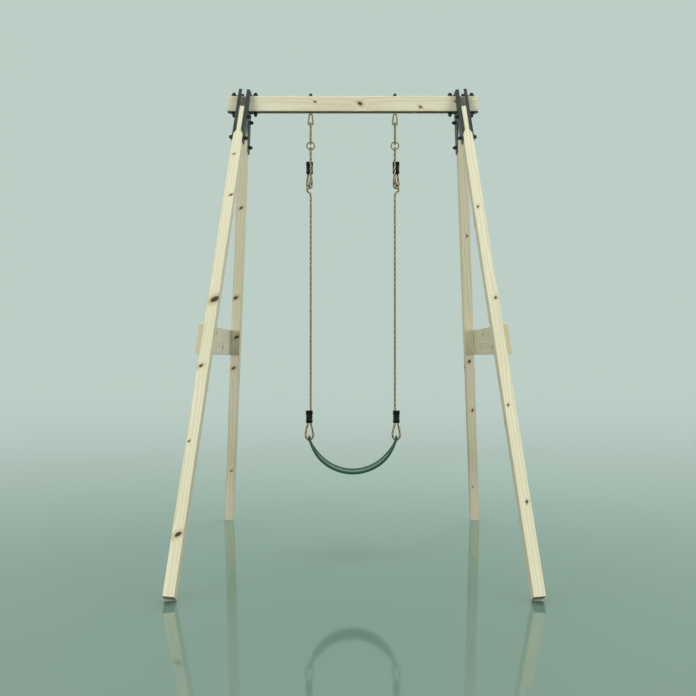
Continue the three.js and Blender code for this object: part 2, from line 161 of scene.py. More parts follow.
class Nodes:
    """Adds nodes to one tree, a material's or a group's, and joins their sockets."""

    def __init__(self, tree: NodeTree) -> None:
        """Args:
        tree: The tree that gets the nodes.
        """
        self.tree = tree

    def add(self, kind: str, inputs: dict[str | int, Value] | None = None, **settings: object) -> Node:
        """Adds a node.

        Args:
            kind: The node's type, without its ShaderNode prefix.
            inputs: What each input gets, by name or number: a socket to join or a value.
            settings: The node's own properties.

        Returns:
            The node.
        """
        node = self.tree.nodes.new("ShaderNode" + kind)
        for name, value in settings.items():
            setattr(node, name, value)
        for key, value in (inputs or {}).items():
            self.feed(node.inputs[key], value)
        return node

    def feed(self, socket: NodeSocket, value: Value) -> None:
        """Joins a socket to another one, or sets its value.

        Args:
            socket: The input.
            value: The socket or the value that it gets.
        """
        if isinstance(value, NodeSocket):
            self.tree.links.new(value, socket)
        elif isinstance(value, (int, float)):
            socket.default_value = value
        else:
            values = list(value)
            size = len(socket.default_value)
            socket.default_value = values + [1.0] * (size - len(values))

    def math(self, operation: str, *values: Value) -> NodeSocket:
        """The result of a Math node.

        Args:
            operation: The node's operation.
            values: Its inputs.

        Returns:
            The output socket.
        """
        return self.add("Math", dict(enumerate(values)), operation=operation).outputs[0]

    def vector(self, operation: str, *values: Value) -> Node:
        """A Vector Math node.

        Args:
            operation: The node's operation.
            values: Its inputs.

        Returns:
            The node, because it puts out a vector or a value.
        """
        return self.add("VectorMath", dict(enumerate(values)), operation=operation)

    def span(
        self, value: Value, low: float, high: float, to_low: float = 0, to_high: float = 1
    ) -> NodeSocket:
        """A value moved smoothly from one range to another, and kept inside it.

        Args:
            value: The value.
            low: The start of the first range.
            high: The end of the first range.
            to_low: What low becomes.
            to_high: What high becomes.

        Returns:
            The output socket.
        """
        inputs = {0: value, 1: low, 2: high, 3: to_low, 4: to_high}
        return self.add("MapRange", inputs, interpolation_type="SMOOTHSTEP").outputs[0]

    def blend(self, share: Value, first: Value, second: Value, blend_type: str = "MIX") -> NodeSocket:
        """Two colours mixed.

        Args:
            share: How much of the second colour there is.
            first: The first colour.
            second: The second colour.
            blend_type: How the second one is laid on the first.

        Returns:
            The output socket.
        """
        inputs = {0: share, 6: first, 7: second}
        return self.add("Mix", inputs, data_type="RGBA", blend_type=blend_type).outputs[2]

    def noise(self, place: Value, scale: Value, detail: float = 3, rough: float = 0.5) -> NodeSocket:
        """Cloudy noise from 0 to 1.

        Args:
            place: Where it is read.
            scale: How many clouds there are in a metre.
            detail: How many finer layers it has.
            rough: How strong the finer layers are.

        Returns:
            The output socket.
        """
        inputs = {"Vector": place, "Scale": scale, "Detail": detail, "Roughness": rough}
        return self.add("TexNoise", inputs).outputs[0]

    def stretch(self, place: Value, scale: Point) -> NodeSocket:
        """A position scaled by its own amount along each axis."""
        return self.vector("MULTIPLY", place, scale).outputs[0]

    def bump(
        self, height: Value, distance: float, strength: float = 1, under: NodeSocket | None = None
    ) -> NodeSocket:
        """A normal tilted by a height.

        Args:
            height: The height, from 0 to 1.
            distance: How high 1 is.
            strength: How much of it shows.
            under: A normal that it is laid on.

        Returns:
            The normal.
        """
        inputs: dict[str | int, Value] = {"Height": height, "Distance": distance, "Strength": strength}
        if under is not None:
            inputs["Normal"] = under
        return self.add("Bump", inputs).outputs[0]

    def object_place(self) -> NodeSocket:
        """The position in the frame that the piece was made in."""
        return self.add("TexCoord").outputs["Object"]

    def attribute(self, name: str) -> NodeSocket:
        """A value that the mesh carries on its vertices."""
        return self.add("Attribute", attribute_name=name).outputs["Fac"]


class Effect:
    """A shader node group that more than one finish uses. It is made once."""

    name = ""
    takes: dict[str, str] = {}
    gives: dict[str, str] = {}

    @classmethod
    def group(cls) -> NodeTree:
        """The group, which is made the first time it is asked for.

        Returns:
            The group of nodes.
        """
        found = bpy.data.node_groups.get(cls.name)
        if found is not None:
            return found
        tree = bpy.data.node_groups.new(cls.name, "ShaderNodeTree")
        for in_out, sockets in (("INPUT", cls.takes), ("OUTPUT", cls.gives)):
            for name, kind in sockets.items():
                tree.interface.new_socket(name=name, in_out=in_out, socket_type="NodeSocket" + kind)
        source, sink = tree.nodes.new("NodeGroupInput"), tree.nodes.new("NodeGroupOutput")
        made = cls.wire(Nodes(tree), source.outputs)
        for name, socket in made.items():
            tree.links.new(socket, sink.inputs[name])
        return tree

    @classmethod
    def wire(cls, nodes: Nodes, given: bpy.types.bpy_prop_collection) -> dict[str, NodeSocket]:
        """Makes the group's inside.

        Args:
            nodes: Adds nodes to the group.
            given: The group's input sockets, by name.

        Returns:
            The socket that each output gets.
        """
        raise NotImplementedError

    @classmethod
    def place(cls, nodes: Nodes, **inputs: Value) -> bpy.types.bpy_prop_collection:
        """Puts the group in a material.

        Args:
            nodes: Adds nodes to the material.
            inputs: What each input gets.

        Returns:
            The group's output sockets.
        """
        node = nodes.add("Group", node_tree=cls.group())
        for name, value in inputs.items():
            nodes.feed(node.inputs[name], value)
        return node.outputs


class Knot(Effect):
    """One knot: a branch that runs out from the tree's middle and is cut by the board's faces."""

    name = "Knot"
    takes = {"Place": "Vector", "Centre": "Vector", "Heading": "Vector", "Size": "Float"}
    gives = {"Core": "Float", "Halo": "Float", "Bend": "Float"}

    @classmethod
    def wire(cls, nodes: Nodes, given: bpy.types.bpy_prop_collection) -> dict[str, NodeSocket]:
        """See Effect.wire.

        Args:
            nodes: What the group is built with.
            given: The group's inputs.

        Returns:
            The group's outputs, by name.
        """
        ragged = nodes.noise(given["Place"], 260, 2)
        away = nodes.vector("SUBTRACT", given["Place"], given["Centre"]).outputs[0]
        off_line = nodes.vector("CROSS_PRODUCT", away, given["Heading"]).outputs[0]
        far = nodes.vector("LENGTH", off_line).outputs[1]
        turns = nodes.math("DIVIDE", far, given["Size"])
        uneven = nodes.math("ADD", turns, nodes.math("MULTIPLY_ADD", ragged, 0.7, -0.35))
        spread = nodes.math("DIVIDE", nodes.math("MULTIPLY", turns, turns), -9)
        return {
            "Core": nodes.span(uneven, 1.15, 0.85),
            "Halo": nodes.span(uneven, 3.2, 0.9),
            "Bend": nodes.math("MULTIPLY", nodes.math("EXPONENT", spread), given["Size"]),
        }


class GrowthRings(Effect):
    """The rings of a tree round a middle line that runs along Z, and the fine fibre between them."""

    name = "Growth Rings"
    takes = {"Place": "Vector", "Pith": "Vector", "Spacing": "Float", "Bend": "Float"}
    gives = {"Late": "Float", "Fibre": "Float", "Cloud": "Float"}

    @classmethod
    def wire(cls, nodes: Nodes, given: bpy.types.bpy_prop_collection) -> dict[str, NodeSocket]:
        """See Effect.wire.

        Args:
            nodes: What the group is built with.
            given: The group's inputs.

        Returns:
            The group's outputs, by name.
        """
        place = given["Place"]
        sway = nodes.noise(nodes.stretch(place, (9, 9, 1.6)), 1, 3)
        flat = nodes.stretch(nodes.vector("SUBTRACT", place, given["Pith"]).outputs[0], (1, 1, 0))
        radius = nodes.vector("LENGTH", flat).outputs[1]
        waver = nodes.math("MULTIPLY", sway, 0.022)
        shifted = nodes.math("ADD", nodes.math("ADD", radius, waver), given["Bend"])
        ring = nodes.math("FRACT", nodes.math("DIVIDE", shifted, given["Spacing"]))
        late = nodes.math("MULTIPLY", nodes.math("POWER", ring, 2.2), nodes.span(ring, 1, 0.86))
        fibre = nodes.noise(nodes.stretch(place, (520, 520, 9)), 1, 4, 0.65)
        cloud = nodes.noise(nodes.stretch(place, (14, 14, 2.4)), 1, 2)
        return {"Late": late, "Fibre": fibre, "Cloud": cloud}


class FineGrain(Effect):
    """The fine texture of a coated or moulded surface, with slow clouds under it."""

    name = "Fine Grain"
    takes = {"Place": "Vector", "Scale": "Float"}
    gives = {"Height": "Float", "Speck": "Float", "Cloud": "Float"}

    @classmethod
    def wire(cls, nodes: Nodes, given: bpy.types.bpy_prop_collection) -> dict[str, NodeSocket]:
        """See Effect.wire.

        Args:
            nodes: What the group is built with.
            given: The group's inputs.

        Returns:
            The group's outputs, by name.
        """
        fine = nodes.noise(given["Place"], given["Scale"], 2, 0.6)
        speck = nodes.noise(given["Place"], nodes.math("MULTIPLY", given["Scale"], 0.31), 1)
        cloud = nodes.noise(given["Place"], nodes.math("MULTIPLY", given["Scale"], 0.028), 4, 0.55)
        return {"Height": fine, "Speck": nodes.span(speck, 0.6, 0.74), "Cloud": cloud}


class EdgeWearAndHighlight(Effect):
    """Where a rounded edge is worn, and where a painted highlight goes: patchy, and only on the edges and
    parts that the mesh marks.
    """

    name = "Edge Wear And Highlight"
    takes = {"Place": "Vector", "Scale": "Float", "Amount": "Float"}
    gives = {"Mask": "Float"}

    @classmethod
    def wire(cls, nodes: Nodes, given: bpy.types.bpy_prop_collection) -> dict[str, NodeSocket]:
        """See Effect.wire.

        Args:
            nodes: What the group is built with.
            given: The group's inputs.

        Returns:
            The group's outputs, by name.
        """
        # the mask is real wear on the coat and the zinc, and a painted highlight on the pine and the
        # mouldings
        patchy = nodes.span(nodes.noise(given["Place"], given["Scale"], 4, 0.7), 0.42, 0.62)
        rim_highlight = nodes.math("MULTIPLY", nodes.attribute(EDGE), patchy)
        return {"Mask": nodes.math("MULTIPLY", rim_highlight, given["Amount"])}


# ---------------------------------------------------------------- finishes


def new_material(name: str) -> tuple[Material, Nodes, Node]:
    """Makes an empty material with its surface shader.

    Args:
        name: The material's name.

    Returns:
        The material, what adds nodes to it, and its shader.
    """
    material = bpy.data.materials.new(name)
    material.use_nodes = True
    return material, Nodes(material.node_tree), material.node_tree.nodes["Principled BSDF"]


@dataclass(frozen=True)
class Branch:
    """A knot in a board: how far along it is, where across the two faces, and its radius."""

    along: float
    across: float
    depth: float
    radius: float


@dataclass(frozen=True)
class Pine:
    """Planed pine: pale, with rings that show as long lines, fine fibre and a few dark knots."""

    pale: Colour = tint(226, 220, 194)
    late: Colour = tint(194, 178, 138)
    shade: Colour = tint(213, 206, 176)
    halo: Colour = tint(166, 134, 88)
    core: Colour = tint(44, 27, 14)
    end: Colour = tint(178, 162, 122)
    spacing: float = 6.2 * MM

    def build(
        self, name: str, place: Matrix, pith: tuple[float, float], branches: Iterable[Branch]
    ) -> Material:
        """Makes the finish for one board, whose grain runs along its own Z.

        Args:
            name: The material's name.
            place: From the board's frame to the object's.
            pith: Where the middle of the tree was, across the board.
            branches: The board's knots.

        Returns:
            The material.
        """
        material, nodes, shader = new_material(name)
        local = nodes.add(
            "Mapping",
            {"Vector": nodes.object_place(), "Location": place.translation, "Rotation": place.to_euler()},
            vector_type="TEXTURE",
        ).outputs[0]
        core, halo, bend = self.knots(nodes, local, pith, branches)
        rings = GrowthRings.place(nodes, Place=local, Pith=(*pith, 0), Spacing=self.spacing, Bend=bend)
        wood = nodes.blend(nodes.math("MULTIPLY", rings["Late"], 0.75), self.pale, self.late)
        wood = nodes.blend(nodes.span(rings["Cloud"], 0.35, 0.75, 0, 0.55), wood, self.shade)
        wood = nodes.blend(nodes.span(rings["Fibre"], 0.5, 0.8, 0, 0.3), wood, self.late)
        wood = nodes.blend(nodes.math("MULTIPLY", halo, 0.5), wood, self.halo)
        wood = nodes.blend(nodes.math("MULTIPLY", core, 0.92), wood, self.core)
        facing = nodes.add("TexCoord").outputs["Normal"]
        along = nodes.vector("DOT_PRODUCT", facing, place.to_3x3() @ Z_AXIS).outputs[1]
        end_grain = nodes.span(nodes.math("ABSOLUTE", along), 0.75, 0.95, 0, 0.7)
        wood = nodes.blend(end_grain, wood, self.end)
        # painted highlight: the eased edges are made paler, for the light that they catch
        bright = EdgeWearAndHighlight.place(nodes, Place=local, Scale=30, Amount=0.35)["Mask"]
        nodes.feed(shader.inputs["Base Color"], nodes.blend(bright, wood, self.pale))
        nodes.feed(shader.inputs["Roughness"], nodes.span(rings["Fibre"], 0.3, 0.8, 0.58, 0.74))
        raised = nodes.math("MULTIPLY_ADD", rings["Late"], 0.6, rings["Fibre"])
        sunk = nodes.math("SUBTRACT", raised, nodes.math("MULTIPLY", core, 0.8))
        nodes.feed(shader.inputs["Normal"], nodes.bump(sunk, 0.35 * MM, 0.6))
        shader.inputs["Specular IOR Level"].default_value = 0.35
        return material

    def knots(
        self, nodes: Nodes, local: NodeSocket, pith: tuple[float, float], branches: Iterable[Branch]
    ) -> tuple[Value, Value, Value]:
        """Adds the board's knots.

        Args:
            nodes: Adds nodes to the material.
            local: The position in the board's frame.
            pith: Where the middle of the tree was.
            branches: The knots.

        Returns:
            The knots' dark cores, the brown round them, and how far they push the rings out.
        """
        core: Value = 0.0
        halo: Value = 0.0
        bend: Value = 0.0
        for branch in branches:
            centre = Vector((branch.across, branch.depth, branch.along))
            heading = Vector((branch.across - pith[0], branch.depth - pith[1], 0)).normalized()
            heading = (heading + Vector((0.7, 0, 0.9))).normalized()
            knot = Knot.place(nodes, Place=local, Centre=centre, Heading=heading, Size=branch.radius)
            core = nodes.math("MAXIMUM", core, knot["Core"])
            halo = nodes.math("MAXIMUM", halo, knot["Halo"])
            bend = nodes.math("ADD", bend, knot["Bend"])
        return core, halo, bend


@dataclass(frozen=True)
class PowderCoat:
    """Steel with a satin black coat: a fine orange peel, and greyer where an edge is rubbed."""

    base: Colour = tint(46, 50, 49)
    faded: Colour = tint(62, 67, 65)
    worn: Colour = tint(96, 100, 95)
    roughness: float = 0.52

    def build(self, name: str) -> Material:
        """Makes the finish.

        Args:
            name: The material's name.

        Returns:
            The material.
        """
        material, nodes, shader = new_material(name)
        place = nodes.object_place()
        grain = FineGrain.place(nodes, Place=place, Scale=900)
        wear_and_highlight = EdgeWearAndHighlight.place(nodes, Place=place, Scale=160, Amount=0.55)["Mask"]
        coat = nodes.blend(nodes.span(grain["Cloud"], 0.35, 0.7, 0, 0.7), self.base, self.faded)
        nodes.feed(shader.inputs["Base Color"], nodes.blend(wear_and_highlight, coat, self.worn))
        rough = nodes.span(grain["Cloud"], 0.3, 0.7, self.roughness - 0.07, self.roughness + 0.08)
        nodes.feed(shader.inputs["Roughness"], rough)
        nodes.feed(shader.inputs["Metallic"], nodes.math("MULTIPLY", wear_and_highlight, 0.6))
        nodes.feed(shader.inputs["Normal"], nodes.bump(grain["Height"], 0.12 * MM, 0.5))
        return material


@dataclass(frozen=True)
class ZincPlate:
    """Zinc plate with a yellow passivation: metal that is dull and blotchy, brighter on its edges."""

    base: Colour = tint(204, 184, 142)
    dull: Colour = tint(164, 146, 108)
    bright: Colour = tint(226, 212, 180)

    def build(self, name: str) -> Material:
        """Makes the finish.

        Args:
            name: The material's name.

        Returns:
            The material.
        """
        material, nodes, shader = new_material(name)
        place = nodes.object_place()
        grain = FineGrain.place(nodes, Place=place, Scale=1500)
        wear_and_highlight = EdgeWearAndHighlight.place(nodes, Place=place, Scale=240, Amount=0.7)["Mask"]
        plate = nodes.blend(nodes.span(grain["Cloud"], 0.32, 0.68), self.base, self.dull)
        plate = nodes.blend(nodes.math("MULTIPLY", grain["Speck"], 0.4), plate, self.dull)
        nodes.feed(shader.inputs["Base Color"], nodes.blend(wear_and_highlight, plate, self.bright))
        nodes.feed(shader.inputs["Roughness"], nodes.span(grain["Cloud"], 0.3, 0.7, 0.3, 0.46))
        nodes.feed(shader.inputs["Normal"], nodes.bump(grain["Height"], 0.05 * MM, 0.5))
        shader.inputs["Metallic"].default_value = 0.92
        return material


@dataclass(frozen=True)
class Moulding:
    """Moulded plastic or rubber with a spark-eroded grain."""

    base: Colour
    light: Colour
    # the colour of the painted highlight on the parts that the mesh marks
    painted_highlight: Colour
    roughness: float
    grain_scale: float = 1100
    grain_depth: float = 0.08 * MM
    specular: float = 0.5

    def build(self, name: str) -> Material:
        """Makes the finish.

        Args:
            name: The material's name.

        Returns:
            The material.
        """
        material, nodes, shader = new_material(name)
        place = nodes.object_place()
        grain = FineGrain.place(nodes, Place=place, Scale=self.grain_scale)
        wear_and_highlight = EdgeWearAndHighlight.place(nodes, Place=place, Scale=70, Amount=0.5)["Mask"]
        plastic = nodes.blend(nodes.span(grain["Cloud"], 0.35, 0.7, 0, 0.6), self.base, self.light)
        # painted highlight: the marked parts, the locks' necks and the belt's rims, are made lighter
        nodes.feed(shader.inputs["Base Color"], nodes.blend(wear_and_highlight, plastic, self.painted_highlight))
        rough = nodes.span(grain["Cloud"], 0.3, 0.7, self.roughness - 0.05, self.roughness + 0.07)
        nodes.feed(shader.inputs["Roughness"], rough)
        nodes.feed(shader.inputs["Normal"], nodes.bump(grain["Height"], self.grain_depth, 0.6))
        shader.inputs["Specular IOR Level"].default_value = self.specular
        return material


@dataclass(frozen=True)
class LaidYarn:
    """Tan rope yarn. U runs round the rope, one for each strand, and V along it, one for each lay."""

    light: Colour = tint(238, 222, 188)
    dark: Colour = tint(182, 158, 120)
    # the colour of the painted shade in the grooves between the strands
    deep: Colour = tint(48, 34, 20)
    strands: int = 3
    yarns: float = 22

    def build(self, name: str) -> Material:
        """Makes the finish.

        Args:
            name: The material's name.

        Returns:
            The material.
        """
        material, nodes, shader = new_material(name)
        split = nodes.add("SeparateXYZ", {0: nodes.add("UVMap").outputs[0]})
        strand = nodes.math("FRACT", split.outputs[0])
        crown = nodes.math("ABSOLUTE", nodes.math("SUBTRACT", strand, 0.5))
        # painted shade: the grooves between the strands are darkened
        painted_groove_shade = nodes.span(crown, 0.14, 0.38)
        offset = nodes.math("MULTIPLY", strand, 4.0)
        slope = nodes.math("MULTIPLY_ADD", split.outputs[1], self.yarns, offset)
        yarn = nodes.math("PINGPONG", slope, 0.5)
        fuzz = nodes.noise(nodes.object_place(), 1400, 3, 0.7)
        patch = nodes.noise(nodes.object_place(), 60, 3)
        fibre = nodes.math("MULTIPLY_ADD", fuzz, 0.5, yarn)
        tone = nodes.blend(nodes.span(fibre, 0.25, 0.85), self.dark, self.light)
        tone = nodes.blend(nodes.span(patch, 0.35, 0.75, 0, 0.45), tone, self.dark)
        nodes.feed(shader.inputs["Base Color"], nodes.blend(painted_groove_shade, tone, self.deep))
        nodes.feed(shader.inputs["Roughness"], nodes.span(fuzz, 0.2, 0.8, 0.78, 0.96))
        nodes.feed(shader.inputs["Normal"], nodes.bump(fibre, 0.5 * MM, 0.9))
        shader.inputs["Specular IOR Level"].default_value = 0.2
        return material


# ---------------------------------------------------------------- meshes


def new_shape() -> BMesh:
    """An empty mesh that can mark its rounded edges.

    Returns:
        The mesh.
    """
    shape = bmesh.new()
    edge_mark(shape)
    return shape


def new_mesh(shape: BMesh, name: str) -> Mesh:
    """Turns a working mesh into one that an object can show.

    Args:
        shape: The working mesh, which is used up.
        name: The new mesh's name.

    Returns:
        The new mesh.
    """
    mesh = bpy.data.meshes.new(name)
    shape.to_mesh(mesh)
    shape.free()
    return mesh


def shade(mesh: Mesh) -> None:
    """Shades a mesh smooth, except across its creases."""
    mesh.shade_smooth()
    mesh.set_sharp_from_angle(angle=CREASE)


def open_edges(shape: BMesh) -> list[BMEdge]:
    """The edges that have a face on one side only."""
    return [edge for edge in shape.edges if edge.is_boundary]


def draw_on(shape: BMesh, rim: Sequence[BMEdge]) -> tuple[list[BMVert], list[BMEdge]]:
    """Extrudes a ring of edges, and leaves the new ring where the old one is.

    Args:
        shape: The mesh.
        rim: The ring's edges.

    Returns:
        The new ring's points and its edges.
    """
    made = bmesh.ops.extrude_edge_only(shape, edges=rim)["geom"]
    points = [part for part in made if isinstance(part, BMVert)]
    return points, [part for part in made if isinstance(part, BMEdge)]


def slice_at(shape: BMesh, point: Point, normal: Point) -> None:
    """Cuts a mesh's faces along a plane, and takes nothing away.

    Args:
        shape: The mesh.
        point: A point of the plane.
        normal: The way that the plane faces.
    """
    parts = [*shape.verts, *shape.edges, *shape.faces]
    bmesh.ops.bisect_plane(shape, geom=parts, dist=MERGE, plane_co=point, plane_no=normal)


def edge_mark(shape: BMesh) -> bmesh.types.BMLayerItem:
    """The layer that marks rounded edges, which is added if the mesh hasn't got it."""
    return shape.verts.layers.float.get(EDGE) or shape.verts.layers.float.new(EDGE)


def round_edges(
    shape: BMesh, edges: Iterable[BMEdge], radius: float, segments: int = 2, mark: float = 1
) -> None:
    """Rounds edges, and marks the new faces as an edge.

    Args:
        shape: The mesh.
        edges: The edges to round.
        radius: How far from the edge the rounding starts.
        segments: How many faces go round it.
        mark: How strongly the new faces count as an edge.
    """
    layer = edge_mark(shape)
    made = bmesh.ops.bevel(
        shape,
        geom=list(edges),
        offset=radius,
        offset_type="OFFSET",
        affect="EDGES",
        segments=segments,
        profile=0.5,
        material=-1,
        clamp_overlap=True,
    )
    fresh = set(made["faces"])
    for vert in {vert for face in fresh for vert in face.verts}:
        if fresh.issuperset(vert.link_faces):
            vert[layer] = max(vert[layer], mark)


def sharp_edges(shape: BMesh, angle: float = CREASE) -> list[BMEdge]:
    """The edges where two faces meet at more than an angle.

    Args:
        shape: The mesh.
        angle: The angle.

    Returns:
        The edges.
    """
    shape.normal_update()
    return [e for e in shape.edges if len(e.link_faces) == 2 and e.calc_face_angle(0) > angle]


def heal(shape: BMesh) -> BMesh:
    """Joins a mesh's doubled points and turns its faces outwards.

    Args:
        shape: The mesh.

    Returns:
        The same mesh.
    """
    bmesh.ops.remove_doubles(shape, verts=shape.verts, dist=MERGE)
    bmesh.ops.recalc_face_normals(shape, faces=shape.faces)
    return shape


def turned(points: Sequence[tuple[float, float]], steps: int = 36) -> BMesh:
    """A round piece spun about Z.

    Args:
        points: Its outline as radius and height, from the bottom to the top.
        steps: How many faces go round it.

    Returns:
        The mesh.
    """
    shape = new_shape()
    verts = [shape.verts.new((radius, 0, height)) for radius, height in points]
    edges = [shape.edges.new(pair) for pair in zip(verts, verts[1:])]
    bmesh.ops.spin(
        shape, geom=verts + edges, cent=(0, 0, 0), axis=Z_AXIS, angle=math.tau, steps=steps, use_merge=True
    )
    return heal(shape)


def arc(
    centre: tuple[float, float], radius: float, start: float, stop: float, steps: int
) -> list[tuple[float, float]]:
    """Points of an outline's rounded corner.

    Args:
        centre: The corner's centre, as radius and height.
        radius: The corner's radius.
        start: The angle it starts at, in degrees.
        stop: The angle it stops at.
        steps: How many steps it has.

    Returns:
        The points.
    """
    turns = [math.radians(start + (stop - start) * i / steps) for i in range(steps + 1)]
    return [(centre[0] + radius * math.cos(t), centre[1] + radius * math.sin(t)) for t in turns]


def box_shape(low: Point, high: Point) -> BMesh:
    """A box between two corners.

    Args:
        low: Its lowest corner.
        high: Its highest corner.

    Returns:
        The mesh.
    """
    shape = new_shape()
    bmesh.ops.create_cube(shape, size=1)
    size = Vector(high) - Vector(low)
    bmesh.ops.scale(shape, vec=size, verts=shape.verts)
    bmesh.ops.translate(shape, vec=Vector(low) + size / 2, verts=shape.verts)
    return shape


def joined(*shapes: BMesh) -> BMesh:
    """Several meshes in one.

    Args:
        shapes: The meshes. The first one gets the others.

    Returns:
        The first mesh.
    """
    first, *others = shapes
    for other in others:
        mesh = new_mesh(other, "joining")
        first.from_mesh(mesh)
        bpy.data.meshes.remove(mesh)
    return first


def merged_copy(node: str) -> BMesh:
    """A CAD node's mesh with its loose triangles joined and its flat faces whole.

    Args:
        node: The node's name.

    Returns:
        The mesh.
    """
    shape = bmesh.new()
    shape.from_mesh(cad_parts[node].data)
    edge_mark(shape)
    bmesh.ops.remove_doubles(shape, verts=shape.verts, dist=MERGE)
    bmesh.ops.dissolve_limit(shape, angle_limit=math.radians(0.5), verts=shape.verts, edges=shape.edges)
    return shape


class BentWire:
    """Round wire that starts at an open end and is drawn straight or spun round a bend."""

    def __init__(self, radius: float, start: Point, heading: Point, segments: int = 16) -> None:
        """Args:
        radius: The wire's radius.
        start: Where it starts.
        heading: Which way it goes.
        segments: How many faces go round it.
        """
        self.shape = new_shape()
        self.heading = Vector(heading).normalized()
        place = shift(*start) @ self.heading.to_track_quat("Z", "Y").to_matrix().to_4x4()
        bmesh.ops.create_circle(self.shape, segments=segments, radius=radius, matrix=place)
        self.rim = list(self.shape.edges)

    def straight(self, length: float) -> "BentWire":
        """Draws the wire on, straight ahead.

        Args:
            length: How far.

        Returns:
            The wire.
        """
        points, self.rim = draw_on(self.shape, self.rim)
        bmesh.ops.translate(self.shape, vec=self.heading * length, verts=points)
        return self

    def bend(self, centre: Point, axis: Vector, degrees: float, steps: int) -> "BentWire":
        """Bends the wire round a centre.

        Args:
            centre: The centre of the bend.
            axis: The line it turns about.
            degrees: How far it turns.
            steps: How many steps the bend has.

        Returns:
            The wire.
        """
        angle = math.radians(degrees)
        made = bmesh.ops.spin(
            self.shape, geom=self.rim, cent=centre, axis=axis, angle=angle, steps=steps, use_merge=False
        )["geom_last"]
        self.rim = [part for part in made if isinstance(part, BMEdge)]
        self.heading = Matrix.Rotation(angle, 3, axis) @ self.heading
        return self

    def closed(self) -> BMesh:
        """The mesh of a wire whose end has come back to its start."""
        return heal(self.shape)

    def capped(self, rounding: float) -> BMesh:
        """The mesh of a wire with both ends closed and rounded.

        Args:
            rounding: How far the ends are rounded.

        Returns:
            The mesh.
        """
        bmesh.ops.holes_fill(self.shape, edges=open_edges(self.shape), sides=0)
        heal(self.shape)
        rims = [e for e in self.shape.edges if any(len(f.verts) > 4 for f in e.link_faces)]
        round_edges(self.shape, rims, rounding, 3)
        return self.shape


@dataclass(frozen=True)
class Piece:
    """What a finished piece is called, what it moves with, and what it stands for."""

    name: str
    body: Body
    slot: Slot
    material: Material
    stands_for: tuple[str, ...] = ()
    flat_faced: bool = False

    def finish(self, shape: BMesh, place: Matrix | None = None) -> Object:
        """Makes the object from its mesh.

        Args:
            shape: The mesh, which is used up.
            place: From the frame the mesh was made in to the object's.

        Returns:
            The object.
        """
        if place is not None:
            bmesh.ops.transform(shape, matrix=place, verts=shape.verts)
        mesh = new_mesh(shape, self.name)
        mesh.materials.append(self.material)
        shade(mesh)
        piece = show(self.name, mesh)
        if self.flat_faced:
            level = piece.modifiers.new("level", "WEIGHTED_NORMAL")
            level.keep_sharp = True
        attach(piece, self.body.value)
        if self.stands_for:
            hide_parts(*self.stands_for)
        LOG.info("%s: %d faces on %s", self.name, len(mesh.polygons), self.body.value)
        return piece


# ---------------------------------------------------------------- the scene around the swing


@dataclass(frozen=True)
class Lamp:
    """A soft box: where it stands, its size and its power."""

    name: str
    place: Point
    wide: float
    high: float
    watts: float
    colour: Colour = (1.0, 1.0, 1.0)


